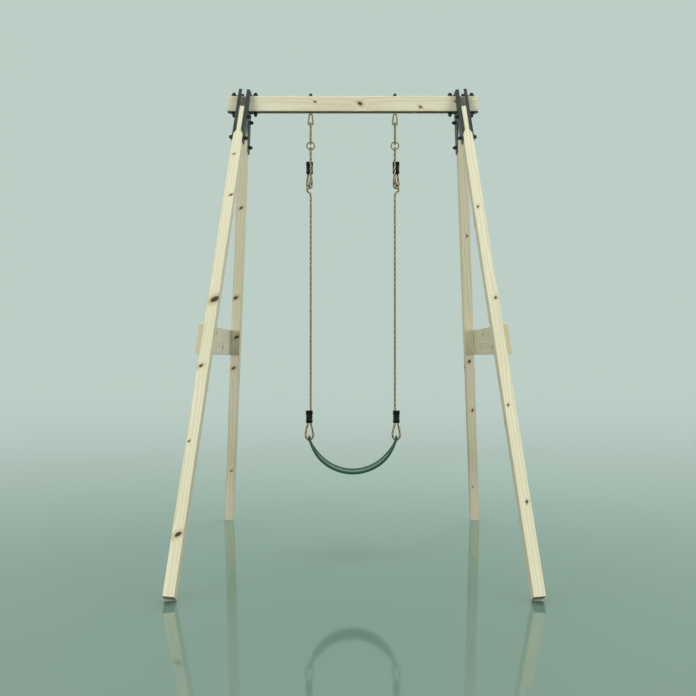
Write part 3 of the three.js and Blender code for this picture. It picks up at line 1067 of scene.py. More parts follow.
@dataclass(frozen=True)
class Studio:
    """A plain pale floor under soft light, and the camera."""

    eye: Point = (-0.022, -4.434, 0.90)
    tilt: float = 90.474
    lens: float = 50
    sensor: float = 36
    floor_reach: float = 60
    floor_gloss: float = 0.06  # the floor's roughness
    # clouds in a metre of floor, and how much paler they are
    mottle: tuple[float, float] = (0.9, 1.06)
    # where the room's light starts, where it is full, and its strength
    glow: tuple[float, float, float] = (-0.03, 0.12, 1.02)
    backdrop: Colour = tint(189, 206, 198)
    floor: Colour = tint(98, 128, 113)
    floor_fade: float = 4.6  # how far out the floor has half gone into the backdrop
    aim: Point = (0, 0, 1.1)
    lamps: tuple[Lamp, ...] = (
        Lamp("key_light", (-18.5, -25.0, 3.4), 14.0, 6.0, 4400, (1.0, 0.98, 0.94)),
        Lamp("fill_light", (20.0, -23.0, 3.2), 14.0, 6.0, 3300, (0.97, 0.99, 1.0)),
        Lamp("top_light", (0.2, 0.6, 4.6), 3.2, 3.2, 95),
        Lamp("back_light", (1.2, 3.8, 3.0), 2.4, 1.8, 70),
    )

    def set_camera(self) -> None:
        """Stands the camera in front of the swing, a little below its middle."""
        data = bpy.data.cameras.new("camera")
        data.lens, data.sensor_width = self.lens, self.sensor
        camera = show("camera", data)
        camera.location = self.eye
        camera.rotation_euler = Euler((math.radians(self.tilt), 0, 0))
        bpy.context.scene.camera = camera

    def lay_floor(self) -> None:
        """Lays a round pale floor that mirrors what stands on it, and fades into the backdrop."""
        shape = bmesh.new()
        bmesh.ops.create_circle(shape, cap_ends=True, segments=64, radius=self.floor_reach)
        mesh = new_mesh(shape, "studio_floor")
        material, nodes, shader = new_material("studio_floor")
        clouds, contrast = self.mottle
        cloud = nodes.noise(nodes.object_place(), clouds, 3)
        paler = tuple(channel * contrast for channel in self.floor)
        nodes.feed(shader.inputs["Base Color"], nodes.blend(cloud, self.floor, paler))
        shader.inputs["Roughness"].default_value = self.floor_gloss
        away = nodes.vector("LENGTH", nodes.object_place()).outputs[1]
        share = nodes.math("POWER", nodes.math("DIVIDE", away, self.floor_fade), 2)
        nodes.feed(shader.inputs["Alpha"], nodes.math("DIVIDE", 1, nodes.math("ADD", share, 1)))
        mesh.materials.append(material)
        floor = show("studio_floor", mesh)
        floor.visible_diffuse = False

    def hang_lights(self) -> None:
        """Hangs the soft boxes, which light the room but don't show in the glossy floor."""
        for lamp in self.lamps:
            data = bpy.data.lights.new(lamp.name, "AREA")
            data.shape = "RECTANGLE"
            data.size, data.size_y = lamp.wide, lamp.high
            data.energy, data.color = lamp.watts, lamp.colour
            light = show(lamp.name, data)
            light.visible_glossy = False
            light.location = lamp.place
            ahead = Vector(self.aim) - light.location
            light.rotation_euler = ahead.to_track_quat("-Z", "Y").to_euler()

    def light_room(self) -> None:
        """Gives the room its pale colour, and soft light that comes only from above."""
        world = bpy.data.worlds.new("room")
        world.use_nodes = True
        bpy.context.scene.world = world
        nodes = Nodes(world.node_tree)
        backing = world.node_tree.nodes["Background"]
        up = nodes.add("SeparateXYZ", {0: nodes.add("TexCoord").outputs["Generated"]}).outputs[2]
        dark, full, strongest = self.glow
        overhead = nodes.span(up, dark, full, 0.0, strongest)
        indirect = nodes.add("LightPath").outputs["Is Diffuse Ray"]
        shares = {0: indirect, 2: 1.0, 3: overhead}
        strength = nodes.add("Mix", shares, data_type="FLOAT").outputs[0]
        backing.inputs["Color"].default_value = (*self.backdrop, 1)
        nodes.feed(backing.inputs["Strength"], strength)

    def build(self) -> None:
        """Sets the whole scene round the swing."""
        bpy.context.scene.view_settings.view_transform = "Standard"
        self.set_camera()
        self.lay_floor()
        self.hang_lights()
        self.light_room()


# ---------------------------------------------------------------- the ropes


@dataclass(frozen=True)
class Ropes:
    """Two laid ropes. Each starts in its lower lock, goes round the belt's eye, up, through the hitch
    and over the ring, and ends in its upper lock."""

    radius: float = 5 * MM
    lay: float = 72 * MM
    strands: int = 3
    strand_radius: float = 2.75 * MM
    sides: int = 24
    step: float = 2.4 * MM
    button: tuple[float, float] = (1.2 * MM, 0.8 * MM)  # how far in and out a melted end is drawn
    route: tuple[Point, ...] = (
        (206, 0, 640), (206, 0, 602), (206.4, 0, 588), (213, 0, 562), (216, 0, 540),
        (213.4, 0, 526), (207, 0, 519.4), (199, 0, 517), (191, 0, 519.4), (184.6, 0, 526),
        (182, 0, 540), (185.5, 0, 562), (192.6, 0, 588), (193, 0, 602), (193, 0, 660),
        (193, 0, 1100), (193, 0, 1600), (193, 0, 1634), (195.5, 0.5, 1645), (203, 3, 1653),
        (209, 10, 1659), (211, 19, 1667), (207, 25, 1677), (201, 21, 1685.5), (199.5, 11, 1688),
        (198.3, 1, 1690), (195.5, -6.5, 1698), (193.2, -9.5, 1712), (193.2, -9.5, 1780),
        (193.5, -9, 1836), (193.5, -8.3, 1851), (193.5, 0, 1857), (193.5, 8.3, 1851),
        (193.5, 9, 1836), (193, 9.8, 1810), (192.5, 10, 1790), (192.5, 10, 1741), (191.5, 10, 1727),
        (188.6, 10, 1702), (188.6, 10, 1684), (192, 10, 1675.2), (199.5, 10, 1672), (207, 10, 1675.2),
        (210.4, 10, 1684), (209.8, 10, 1702), (206.3, 10, 1727), (205.5, 10, 1741), (205.5, 10, 1784),
    )

    def centreline(self, side: Side) -> list[Vector]:
        """The rope's middle line, in even steps.

        Args:
            side: Which rope.

        Returns:
            The points.
        """
        knots = [Vector((side.value * x * MM, y * MM, z * MM)) for x, y, z in self.route]
        dense: list[Vector] = []
        before, after = 2 * knots[0] - knots[1], 2 * knots[-1] - knots[-2]
        padded = [before, *knots, after]
        for a, b, c, d in zip(padded, padded[1:], padded[2:], padded[3:]):
            count = max(6, round((c - b).length / (0.4 * self.step)))
            dense += [self.between(a, b, c, d, i / count) for i in range(count)]
        dense.append(knots[-1])
        return self.evenly(dense)

    @staticmethod
    def between(a: Vector, b: Vector, c: Vector, d: Vector, share: float) -> Vector:
        """A point on the smooth curve through four points, between the middle two.

        Args:
            a: The first point.
            b: The second point, where share is 0.
            c: The third point, where share is 1.
            d: The last point.
            share: How far it is from b to c.

        Returns:
            The point.
        """
        first, middle, last = ((q - p).length ** 0.5 for p, q in ((a, b), (b, c), (c, d)))
        out = ((b - a) / first - (c - a) / (first + middle) + (c - b) / middle) * middle
        into = ((c - b) / middle - (d - b) / (middle + last) + (d - c) / last) * middle
        square, cube = share**2, share**3
        return (
            b * (2 * cube - 3 * square + 1)
            + out * (cube - 2 * square + share)
            + c * (3 * square - 2 * cube)
            + into * (cube - square)
        )

    def evenly(self, dense: Sequence[Vector]) -> list[Vector]:
        """A line's points spaced a step apart.

        Args:
            dense: The line, in steps that are much smaller.

        Returns:
            The points, with both ends.
        """
        points, travelled = [dense[0].copy()], 0.0
        for start, stop in zip(dense, dense[1:]):
            travelled += (stop - start).length
            if travelled >= self.step:
                points.append(stop.copy())
                travelled = 0.0
        if travelled > 0.4 * self.step:
            points.append(dense[-1].copy())
        else:
            points[-1] = dense[-1].copy()
        return points

    def reach(self, turn: float) -> float:
        """How far the rope's surface is from its middle, at an angle round it.

        Args:
            turn: The angle, from the crown of a strand.

        Returns:
            The distance.
        """
        share = math.tau / self.strands
        off_crown = (turn + share / 2) % share - share / 2
        out = self.radius - self.strand_radius
        beside = out * math.sin(off_crown)
        return out * math.cos(off_crown) + math.sqrt(self.strand_radius**2 - beside**2)

    def sweep(self, line: Sequence[Vector]) -> BMesh:
        """The rope's mesh along a line: a section of three strands that turns as it goes.

        Args:
            line: The points.

        Returns:
            The mesh, with strand and lay in its UV map.
        """
        shape = bmesh.new()
        edge_mark(shape)
        along = shape.verts.layers.float.new("along")
        around = shape.verts.layers.float.new("around")
        bmesh.ops.create_circle(shape, segments=self.sides, radius=self.radius)
        ring, rim = list(shape.verts), list(shape.edges)
        turns = [math.atan2(vert.co.y, vert.co.x) for vert in ring]
        for vert, turn in zip(ring, turns):
            vert[around] = turn / math.tau * self.strands
        heading = (line[1] - line[0]).normalized()
        across = heading.orthogonal().normalized()
        travelled = 0.0
        for index, point in enumerate(line):
            if index:
                fresh, rim = draw_on(shape, rim)
                ring = self.matched(ring, fresh)
                travelled += (point - line[index - 1]).length
            ahead, behind = line[min(index + 1, len(line) - 1)], line[max(index - 1, 0)]
            following = (ahead - behind).normalized()
            across = (heading.rotation_difference(following) @ across).normalized()
            heading = following
            beside = heading.cross(across)
            twist = math.tau * travelled / self.lay
            for vert, turn in zip(ring, turns):
                angle = turn + twist
                outwards = across * math.cos(angle) + beside * math.sin(angle)
                vert.co = point + outwards * self.reach(turn)
                vert[along] = travelled / self.lay
        self.cap(shape)
        self.unwrap(shape, along, around)
        return shape

    @staticmethod
    def matched(ring: Sequence[BMVert], fresh: Sequence[BMVert]) -> list[BMVert]:
        """The new points of an extruded ring, in the order of the ring they came from.

        Args:
            ring: The old ring.
            fresh: The new points.

        Returns:
            The new ring.
        """
        known = set(fresh)
        return [next(e.other_vert(v) for e in v.link_edges if e.other_vert(v) in known) for v in ring]

    def cap(self, shape: BMesh) -> None:
        """Closes both ends of the rope, which are melted to a blunt button.

        Args:
            shape: The mesh.
        """
        ends = bmesh.ops.holes_fill(shape, edges=open_edges(shape), sides=0)["faces"]
        thickness, depth = self.button
        bmesh.ops.inset_region(
            shape, faces=ends, thickness=thickness, depth=depth, use_even_offset=True
        )
        bmesh.ops.recalc_face_normals(shape, faces=shape.faces)

    def unwrap(self, shape: BMesh, along: bmesh.types.BMLayerItem, around: bmesh.types.BMLayerItem) -> None:
        """Writes the rope's UV map: U round it and V along it.

        Args:
            shape: The mesh.
            along: The layer that holds V.
            around: The layer that holds U, which jumps back once round the rope.
        """
        chart = shape.loops.layers.uv.new("lay")
        for face in shape.faces:
            values = [loop.vert[around] for loop in face.loops]
            wraps = max(values) - min(values) > self.strands / 2
            for loop, value in zip(face.loops, values):
                u = value + self.strands if wraps and value < 0 else value
                loop[chart].uv = (u + self.strands, loop.vert[along])

    def build(self) -> None:
        material = LaidYarn().build("rope_yarn")
        for side in Side:
            name = side.word
            line = self.centreline(side)
            piece = Piece(f"laid_rope_{name}", Body.ROPES, Slot.ROPE, material, (f"rope_{name}",))
            rope = piece.finish(self.sweep(line))


# ---------------------------------------------------------------- the stand


@dataclass(frozen=True)
class Stand:
    """Where the stand's boards are. The legs lean together under the beam, and each pair splays out."""

    thick: float = 45 * MM
    wide: float = 70 * MM
    ease: float = 3 * MM
    beam_length: float = 1150 * MM
    beam_height: float = 2054.5 * MM
    lean: float = math.radians(23)
    splay: float = math.radians(4.94)
    spread: float = 498 * MM
    leg_top: tuple[float, float] = (44.1 * MM, -38.3 * MM)
    brace_thick: float = 18 * MM
    brace_high: float = 125 * MM
    brace_middle: float = -1092 * MM
    gap: float = 0.3 * MM

    def side_place(self, side: Side) -> Matrix:
        """From a side's own frame to the object's."""
        move = shift(side.value * self.spread, 0, self.beam_height)
        return move @ rotation(-side.value * self.splay, "Y")

    def on_leg(self, distance: float, end: End) -> Point:
        """A point on a leg's middle line, in its side's frame.

        Args:
            distance: How far it is from the leg's top.
            end: Which leg.

        Returns:
            The point.
        """
        y, z = self.leg_top
        out = end.value * (y + distance * math.sin(self.lean))
        return 0, out, z - distance * math.cos(self.lean)

    def leg_line(self, height: float, beside: float = 0) -> float:
        """How far a line beside a leg is from the side's middle.

        Args:
            height: The height in the side's frame.
            beside: How far the line is outside the leg's middle line.

        Returns:
            The distance.
        """
        y, z = self.leg_top
        return y + (z - height) * math.tan(self.lean) + beside / math.cos(self.lean)

    @property
    def leg_length(self) -> float:
        """The length at which a leg's lowest corner meets the ground.

        Returns:
            The length.
        """
        corner = self.thick / 2 * math.sin(self.splay) - self.beam_height
        foot = corner / math.cos(self.splay) + self.wide / 2 * math.sin(self.lean)
        return (self.leg_top[1] - foot) / math.cos(self.lean)

    def leg_place(self, side: Side, end: End) -> Matrix:
        """From a leg's own frame, which has its middle at the origin, to the object's."""
        move = shift(*self.on_leg(self.leg_length / 2, end))
        return self.side_place(side) @ move @ rotation(end.value * self.lean, "X")


@dataclass(frozen=True)
class Timber:
    """The stand's seven boards."""

    stand: Stand
    finish: Pine = Pine()
    end_ease: float = 1.0 * MM
    brace_ease: float = 2.2 * MM
    beam_pith: tuple[float, float] = (0.012, 0.055)
    brace_pith: tuple[float, float] = (0.020, -0.06)
    leg_pith: Point = (0.050, 0.060, 0.006)  # across, deep, and how much deeper from leg to leg
    leg_knots: dict[tuple[Side, End], tuple[Branch, ...]] = field(
        default_factory=lambda: {
            (Side.LEFT, End.FRONT): (
                Branch(0.115, 0.008, -0.035, 0.0105), Branch(-0.184, -0.008, -0.035, 0.0050),
                Branch(0.62, 0.010, -0.035, 0.004), Branch(-0.863, 0.002, -0.035, 0.0070),
                Branch(-0.50, -0.010, -0.035, 0.003), Branch(0.83, -0.004, -0.035, 0.003),
            ),
            (Side.RIGHT, End.FRONT): (
                Branch(0.56, -0.006, -0.035, 0.004), Branch(0.12, 0.009, -0.035, 0.0045),
                Branch(-0.35, -0.008, -0.035, 0.0035), Branch(-0.74, 0.006, -0.035, 0.0045),
            ),
            (Side.LEFT, End.REAR): (
                Branch(0.66, 0.004, -0.035, 0.0045), Branch(0.203, -0.006, -0.035, 0.0065),
                Branch(-0.007, 0.006, -0.035, 0.0065), Branch(-0.18, -0.004, -0.035, 0.0055),
                Branch(-0.78, 0.006, -0.035, 0.0035),
            ),
            (Side.RIGHT, End.REAR): (
                Branch(0.52, 0.006, -0.035, 0.0040), Branch(-0.142, -0.004, -0.035, 0.0060),
                Branch(-0.42, 0.004, -0.035, 0.005), Branch(-0.88, -0.008, -0.035, 0.003),
            ),
        }
    )
    beam_knots: tuple[Branch, ...] = (
        Branch(0.033, 0.0, -0.0225, 0.0070), Branch(-0.173, -0.008, -0.0225, 0.0040),
        Branch(0.31, 0.016, -0.0225, 0.0045), Branch(-0.49, 0.020, -0.0225, 0.004),
        Branch(0.47, -0.010, -0.0225, 0.0035),
    )
    brace_knots: tuple[Branch, ...] = (
        Branch(0.11, -0.034, 0.009, 0.006), Branch(-0.16, 0.028, 0.009, 0.008),
    )

    def board(self, thick: float, wide: float, length: float) -> BMesh:
        """A planed board along Z, with its long edges eased and its sawn ends just broken.

        Args:
            thick: Its size along X.
            wide: Its size along Y.
            length: Its size along Z.

        Returns:
            The mesh.
        """
        corner = Vector((thick, wide, length)) / 2
        shape = box_shape(tuple(-corner), tuple(corner))
        long_edges = [
            e for e in shape.edges if abs((e.verts[0].co - e.verts[1].co).z) > length / 2
        ]
        round_edges(shape, long_edges, self.stand.ease, 4)
        rims = [
            e for e in shape.edges if all(abs(abs(v.co.z) - length / 2) < MERGE for v in e.verts)
        ]
        round_edges(shape, rims, self.end_ease, 2)
        return shape

    def beam(self) -> None:
        """The cross beam."""
        stand = self.stand
        place = shift(0, 0, stand.beam_height) @ rotation(QUARTER, "Y")
        material = self.finish.build("pine_beam", place, self.beam_pith, self.beam_knots)
        piece = Piece("beam_board", Body.STAND, Slot.PINE, material, ("cross_beam",), True)
        piece.finish(self.board(stand.wide, stand.thick, stand.beam_length), place)

    def legs(self) -> None:
        """The four legs."""
        stand = self.stand
        for index, (side, end) in enumerate((side, end) for side in Side for end in End):
            where = f"{end.word}_{side.word}"
            place = stand.leg_place(side, end)
            across, depth, drift = self.leg_pith
            pith = (side.value * across, depth + drift * index)
            knots = self.leg_knots[side, end]
            material = self.finish.build(f"pine_leg_{where}", place, pith, knots)
            node = (f"leg_{where}",)
            piece = Piece(f"leg_board_{where}", Body.STAND, Slot.PINE, material, node, True)
            piece.finish(self.board(stand.thick, stand.wide, stand.leg_length), place)

    def braces(self) -> None:
        """The boards across the outside of each pair of legs, cut to the legs' outer edges."""
        stand = self.stand
        for side in Side:
            near = stand.thick / 2 + stand.gap
            low = stand.brace_middle - stand.brace_high / 2
            high = stand.brace_middle + stand.brace_high / 2
            shape = box_shape((near, -1, low), (near + stand.brace_thick, 1, high))
            for vert in shape.verts:
                vert.co.y *= stand.leg_line(vert.co.z, stand.wide / 2)
            round_edges(shape, list(shape.edges), self.brace_ease, 3)
            place = stand.side_place(side) @ rotation(HALF_TURN if side is Side.LEFT else 0, "Z")
            grain = place @ shift(near + stand.brace_thick / 2, 0, stand.brace_middle)
            grain = grain @ rotation(-QUARTER, "X")
            grain = grain @ rotation(QUARTER, "Z")
            name = f"pine_brace_{side.word}"
            material = self.finish.build(name, grain, self.brace_pith, self.brace_knots)
            name, node = f"brace_board_{side.word}", (f"side_brace_{side.word}",)
            piece = Piece(name, Body.STAND, Slot.PINE, material, node, True)
            piece.finish(shape, place)

    def build(self) -> None:
        """Makes all the boards."""
        self.beam()
        self.legs()
        self.braces()


@dataclass(frozen=True)
class Brackets:
    """The four folded steel plates that clasp the legs and the beam."""

    stand: Stand
    material: Material
    thick: float = 3 * MM
    fold: float = 2.4 * MM
    edge: float = 0.5 * MM
    long: float = 0.1  # a fold is longer than this
    fold_slack: tuple[float, float] = (0.2 * MM, 0.6 * MM)  # how far off a fold a point may be
    fold_wear: float = 0.4

    def plate(self, side: Side, node: str) -> BMesh:
        """One plate, with its folds bent round and its cut edges broken.

        Args:
            side: The side of the stand.
            node: The CAD node that gives the plate's shape.

        Returns:
            The mesh, in the object's frame.
        """
        stand = self.stand
        shape = merged_copy(node)
        into = stand.side_place(side).inverted()
        skin = stand.thick / 2 + stand.gap + self.thick
        beside = stand.wide / 2 + stand.gap + self.thick

        def on_fold(vert: BMVert) -> bool:
            """True for a point on the outer corner of a fold.

            Args:
                vert: The point.

            Returns:
                Whether it is on a fold.
            """
            point = into @ vert.co
            off_skin = abs(abs(point.x) - skin)
            off_line = abs(abs(point.y) - stand.leg_line(point.z, beside))
            return off_skin < self.fold_slack[0] and off_line < self.fold_slack[1]

        creases = [e for e in sharp_edges(shape) if e.calc_length() > self.long]
        folds = [e for e in creases if all(on_fold(v) for v in e.verts)]
        round_edges(shape, folds, self.fold, 4, mark=self.fold_wear)
        round_edges(shape, sharp_edges(shape, math.radians(55)), self.edge, 2)
        return shape

    def build(self) -> None:
        """Makes the plates."""
        for side in Side:
            for face in ("outer", "inner"):
                node = f"bracket_{face}_{side.word}"
                piece = Piece(
                    f"steel_{node}", Body.STAND, Slot.STEEL, self.material, (node,), True
                )
                piece.finish(self.plate(side, node))


@dataclass(frozen=True)
class Fasteners:
    """The bolts with mushroom heads, the domed nuts and the coach screws of the stand."""

    stand: Stand
    material: Material
    plate: float = 3 * MM
    shank: float = 4.8 * MM
    head: float = 9.5 * MM
    head_rim: float = 8 * MM
    head_high: float = 17.5 * MM
    past: float = 8 * MM
    nut: float = 9.4 * MM
    nut_hex: float = 8 * MM
    nut_high: float = 17.5 * MM
    leg_bolts: tuple[tuple[str, float], ...] = (("upper", 31.4 * MM), ("lower", 147.5 * MM))
    beam_bolts: tuple[tuple[str, float], ...] = (("outer", 546 * MM), ("inner", 446.5 * MM))
    screw_head: float = 7 * MM
    screw_high: float = 5 * MM
    screw_shank: float = 3.6 * MM
    screw_length: float = 50 * MM
    screw_point: float = 12 * MM
    lip: float = 0.9 * MM
    chamfer: float = 0.7 * MM
    corner: float = 0.5 * MM  # how far a hexagon's corners are softened
    brow: float = 0.6 * MM  # and the rims of its two faces

    @staticmethod
    def dome(radius: float, foot: float, high: float) -> list[tuple[float, float]]:
        """The outline of a dome, without its top point.

        Args:
            radius: Its radius at its foot.
            foot: Where its foot is.
            high: How high it is.

        Returns:
            The points.
        """
        angles = (QUARTER * i / 9 for i in range(9))
        return [(radius * math.cos(t), foot + high * math.sin(t)) for t in angles]

    def bolt(self, grip: float) -> BMesh:
        """A bolt along Z whose head sits on the far side of what it holds.

        Args:
            grip: How thick that is.

        Returns:
            The mesh, with the middle of the grip at the origin.
        """
        seat = grip / 2 + self.stand.gap
        crown = seat + self.head_high
        lip = arc((self.head - self.lip, seat + self.lip), self.lip, -90, 0, 4)
        dome = self.dome(self.head, seat + self.head_rim, self.head_high - self.head_rim)
        foot, radius = -grip / 2 - self.past, self.shank
        shank = [(0, foot), (radius - self.chamfer, foot), (radius, foot + self.chamfer), (radius, seat)]
        return turned([*shank, *lip, *dome, (0, crown)], 32)

    def hexagon(self, radius: float, low: float, high: float) -> BMesh:
        """A hexagon prism with softened corners.

        Args:
            radius: From its middle to a corner.
            low: Its lowest height.
            high: Its highest height.

        Returns:
            The mesh.
        """
        shape = new_shape()
        size = {"radius1": radius, "radius2": radius, "depth": high - low}
        bmesh.ops.create_cone(shape, cap_ends=True, segments=6, **size)
        bmesh.ops.translate(shape, vec=(0, 0, (low + high) / 2), verts=shape.verts)
        upright = [e for e in shape.edges if abs(e.verts[0].co.z - e.verts[1].co.z) > MERGE]
        round_edges(shape, upright, self.corner)
        round_edges(shape, sharp_edges(shape, math.radians(60)), self.brow)
        return shape

    def cap_nut(self, high: float, hexagon: float) -> BMesh:
        """A hexagon nut with a domed cap, standing on Z = 0.

        Args:
            high: Its whole height.
            hexagon: The height of its hexagon.

        Returns:
            The mesh.
        """
        radius, foot = self.nut - 1.5 * MM, 1 * MM
        dome = self.dome(radius, hexagon, high - hexagon)
        cap = turned([(0, foot), (radius, foot), *dome, (0, high)], 32)
        return joined(self.hexagon(self.nut, 0, hexagon), cap)

    def coach_screw(self) -> BMesh:
        """A coach screw with its hexagon head and washer face on top of Z = 0.

        Returns:
            The mesh.
        """
        neck, tip, radius = self.screw_point - self.screw_length, -self.screw_length, self.screw_shank
        shank = turned([(0, tip), (radius, neck), (radius, 2 * MM), (0, 2 * MM)], 20)
        face = arc((self.screw_head - 0.6 * MM, 0.9 * MM), 0.6 * MM, -90, 90, 6)
        collar = turned([(0, 0.3 * MM), *face, (0, 1.5 * MM)], 32)
        head = self.hexagon(self.screw_head * 0.92, 1.2 * MM, self.screw_high)
        return joined(shank, collar, head)

    def on_side(self, side: Side, end: End) -> None:
        """The fasteners of one leg.

        Args:
            side: The leg's side.
            end: Which leg of the side.
        """
        stand = self.stand
        where = f"{end.word}_{side.word}"
        grip = stand.thick + 2 * (stand.gap + self.plate)
        place = stand.side_place(side)
        outwards, inwards = (rotation(sign * side.value * QUARTER, "Y") for sign in (1, -1))
        for level, distance in self.leg_bolts:
            x, y, z = stand.on_leg(distance, end)
            bolt, nut = f"leg_bolt_{level}_{where}", f"leg_nut_{level}_{where}"
            self.piece(bolt, self.bolt(grip), place @ shift(x, y, z) @ outwards)
            nut_place = place @ shift(-side.value * (grip / 2 + stand.gap), y, z) @ inwards
            self.piece(nut, self.cap_nut(self.nut_high, self.nut_hex), nut_place)
        out = side.value * (stand.thick / 2 + stand.gap + stand.brace_thick)
        y = end.value * stand.leg_line(stand.brace_middle)
        screw_place = shift(out, y, stand.brace_middle) @ outwards
        self.piece(f"brace_screw_{where}", self.coach_screw(), place @ screw_place)

    def on_beam(self, side: Side) -> None:
        """The fasteners through one end of the beam.

        Args:
            side: Which end.
        """
        stand = self.stand
        grip = stand.wide + 2 * (stand.gap + self.plate)
        for where, across in self.beam_bolts:
            middle = shift(side.value * across, 0, stand.beam_height)
            name = f"{where}_{side.word}"
            self.piece(f"beam_bolt_{name}", self.bolt(grip), middle)
            under = middle @ shift(0, 0, -grip / 2 - stand.gap) @ rotation(HALF_TURN, "X")
            self.piece(f"beam_nut_{name}", self.cap_nut(self.nut_high, self.nut_hex), under)

    def piece(self, node: str, shape: BMesh, place: Matrix) -> None:
        """Finishes one fastener.

        Args:
            node: The CAD node that it stands for.
            shape: Its mesh.
            place: Where it goes.
        """
        piece = Piece(f"turned_{node}", Body.STAND, Slot.STEEL, self.material, (node,), True)
        piece.finish(shape, place)

    def build(self) -> None:
        """Makes all the fasteners of the stand."""
        for side in Side:
            for end in End:
                self.on_side(side, end)
            self.on_beam(side)


# ---------------------------------------------------------------- the hangers


@dataclass(frozen=True)
class Hangers:
    """What each rope hangs from: an eye bolt through the beam, a carabiner and a ring."""

    stand: Stand
    fasteners: Fasteners
    zinc: Material
    steel: Material
    across: float = 193.5 * MM
    eye_wire: float = 3.5 * MM
    eye_low: tuple[float, float] = (1971.5 * MM, 11 * MM)
    eye_high: tuple[float, float] = (2006 * MM, 6 * MM)
    link_wire: float = 4.5 * MM
    link_bend: float = 19 * MM
    link_top: float = 1970 * MM
    link_bottom: float = 1873.5 * MM
    gate_radius: float = 4.2 * MM
    gate_hinge: float = 1902 * MM
    gate_foot: float = 1895.5 * MM
    gate_tip: float = 1945.3 * MM
    slot: float = 2.2 * MM
    slot_top: float = 1907.5 * MM
    tongue: tuple[float, float] = (3.6 * MM, 8 * MM)
    tongue_ends: tuple[float, float] = (1889 * MM, 1905 * MM)
    pin: tuple[float, float] = (1.5 * MM, 9.2 * MM)
    ring_wire: float = 3 * MM
    ring_bend: float = 17.5 * MM
    ring_middle: float = 1865 * MM

    def eye_bolt(self) -> BMesh:
        """A bolt whose lower end is bent into a closed pear-shaped eye.

        Returns:
            The mesh.
        """
        (low, low_bend), (high, high_bend) = self.eye_low, self.eye_high
        slope = math.degrees(math.asin((low_bend - high_bend) / (high - low)))
        tilt = math.radians(slope)
        side_length = math.sqrt((high - low) ** 2 - (low_bend - high_bend) ** 2)
        start = (low_bend * math.cos(tilt), 0, low + low_bend * math.sin(tilt))
        wire = BentWire(self.eye_wire, start, (-math.sin(tilt), 0, math.cos(tilt)))
        wire.straight(side_length).bend((0, 0, high), -Y_AXIS, 180 - 2 * slope, 16)
        wire.straight(side_length).bend((0, 0, low), -Y_AXIS, 180 + 2 * slope, 28)
        top = self.stand.beam_height + self.stand.wide / 2 + self.stand.gap + self.fasteners.past
        shank = self.fasteners.shank
        foot = high + high_bend - 1 * MM
        outline = [(0, foot), (self.eye_wire, foot), (shank, foot + 4 * MM), (shank, top), (0, top)]
        return joined(wire.closed(), turned(outline, 24))

    def link_body(self) -> BMesh:
        """The carabiner's bent rod, open on one side for its gate, with a tongue for the hinge.

        Returns:
            The mesh.
        """
        bend, wire = self.link_bend, self.link_wire
        upper, lower = self.link_top - bend, self.link_bottom + bend
        nose, heel = self.gate_tip + 0.7 * MM, self.gate_foot - 2 * MM
        rod = BentWire(wire, (0, bend, nose), Z_AXIS, 20)
        rod.straight(upper - nose).bend((0, 0, upper), X_AXIS, 180, 28)
        rod.straight(upper - lower).bend((0, 0, lower), X_AXIS, 180, 28)
        rod.straight(heel - lower)
        thick, wide = self.tongue
        low, high = self.tongue_ends
        tongue = box_shape((-thick / 2, bend - wide / 2, low), (thick / 2, bend + wide / 2, high))
        round_edges(tongue, list(tongue.edges), 0.8 * MM, 3)
        return joined(rod.capped(1.1 * MM), tongue)

    def link_gate(self) -> BMesh:
        """The carabiner's gate: a bar with a rounded tip, and a fork at its foot for the tongue.

        Returns:
            The mesh.
        """
        radius = self.gate_radius
        bar = turned(
            [
                (0, self.gate_foot),
                *arc((radius - 0.8 * MM, self.gate_foot + 0.8 * MM), 0.8 * MM, -90, 0, 3),
                *arc((radius - 1.4 * MM, self.gate_tip - 1.4 * MM), 1.4 * MM, 0, 90, 5),
                (0, self.gate_tip),
            ],
            28,
        )
        walls = (-self.slot, self.slot)
        for wall in walls:
            slice_at(bar, (wall, 0, 0), (1, 0, 0))
        slice_at(bar, (0, 0, self.slot_top), (0, 0, 1))
        middles = ((face, face.calc_center_median()) for face in bar.faces)
        inside = [f for f, at in middles if abs(at.x) < self.slot and at.z < self.slot_top]
        bmesh.ops.delete(bar, geom=inside, context="FACES")
        rims = open_edges(bar)
        for wall in walls:
            on_wall = [e for e in rims if all(abs(v.co.x - wall) < 2 * MERGE for v in e.verts)]
            self.fill_wall(bar, on_wall)
        bmesh.ops.holes_fill(bar, edges=open_edges(bar), sides=0)
        heal(bar)
        bmesh.ops.translate(bar, vec=(0, self.link_bend, 0), verts=bar.verts)
        return bar

    def fill_wall(self, shape: BMesh, wall: Sequence[BMEdge]) -> None:
        """Closes one wall of the gate's slot, along its open top edge.

        Args:
            shape: The gate's mesh.
            wall: The edges round the wall, without its top.
        """
        tops = [v for e in wall for v in e.verts if abs(v.co.z - self.slot_top) < 2 * MERGE]
        ends = sorted(set(tops), key=lambda vert: vert.co.y)
        ledge = shape.edges.get((ends[0], ends[-1])) or shape.edges.new((ends[0], ends[-1]))
        bmesh.ops.contextual_create(shape, geom=[*wall, ledge])

    def pin_shape(self) -> BMesh:
        """The gate's hinge pin, peened over at both ends.

        Returns:
            The mesh.
        """
        radius, length = self.pin
        half, head = length / 2, radius * 1.5
        flat = 0.5 * MM
        peened = [(0, -half - flat), (head * 0.7, -half - flat * 0.8), (head, -half)]
        low = [*peened, (radius, -half + flat * 0.4)]
        high = [(r, -z) for r, z in reversed(low)]
        shape = turned([*low, *high], 20)
        place = shift(0, self.link_bend, self.gate_hinge) @ rotation(QUARTER, "Y")
        bmesh.ops.transform(shape, matrix=place, verts=shape.verts)
        return shape

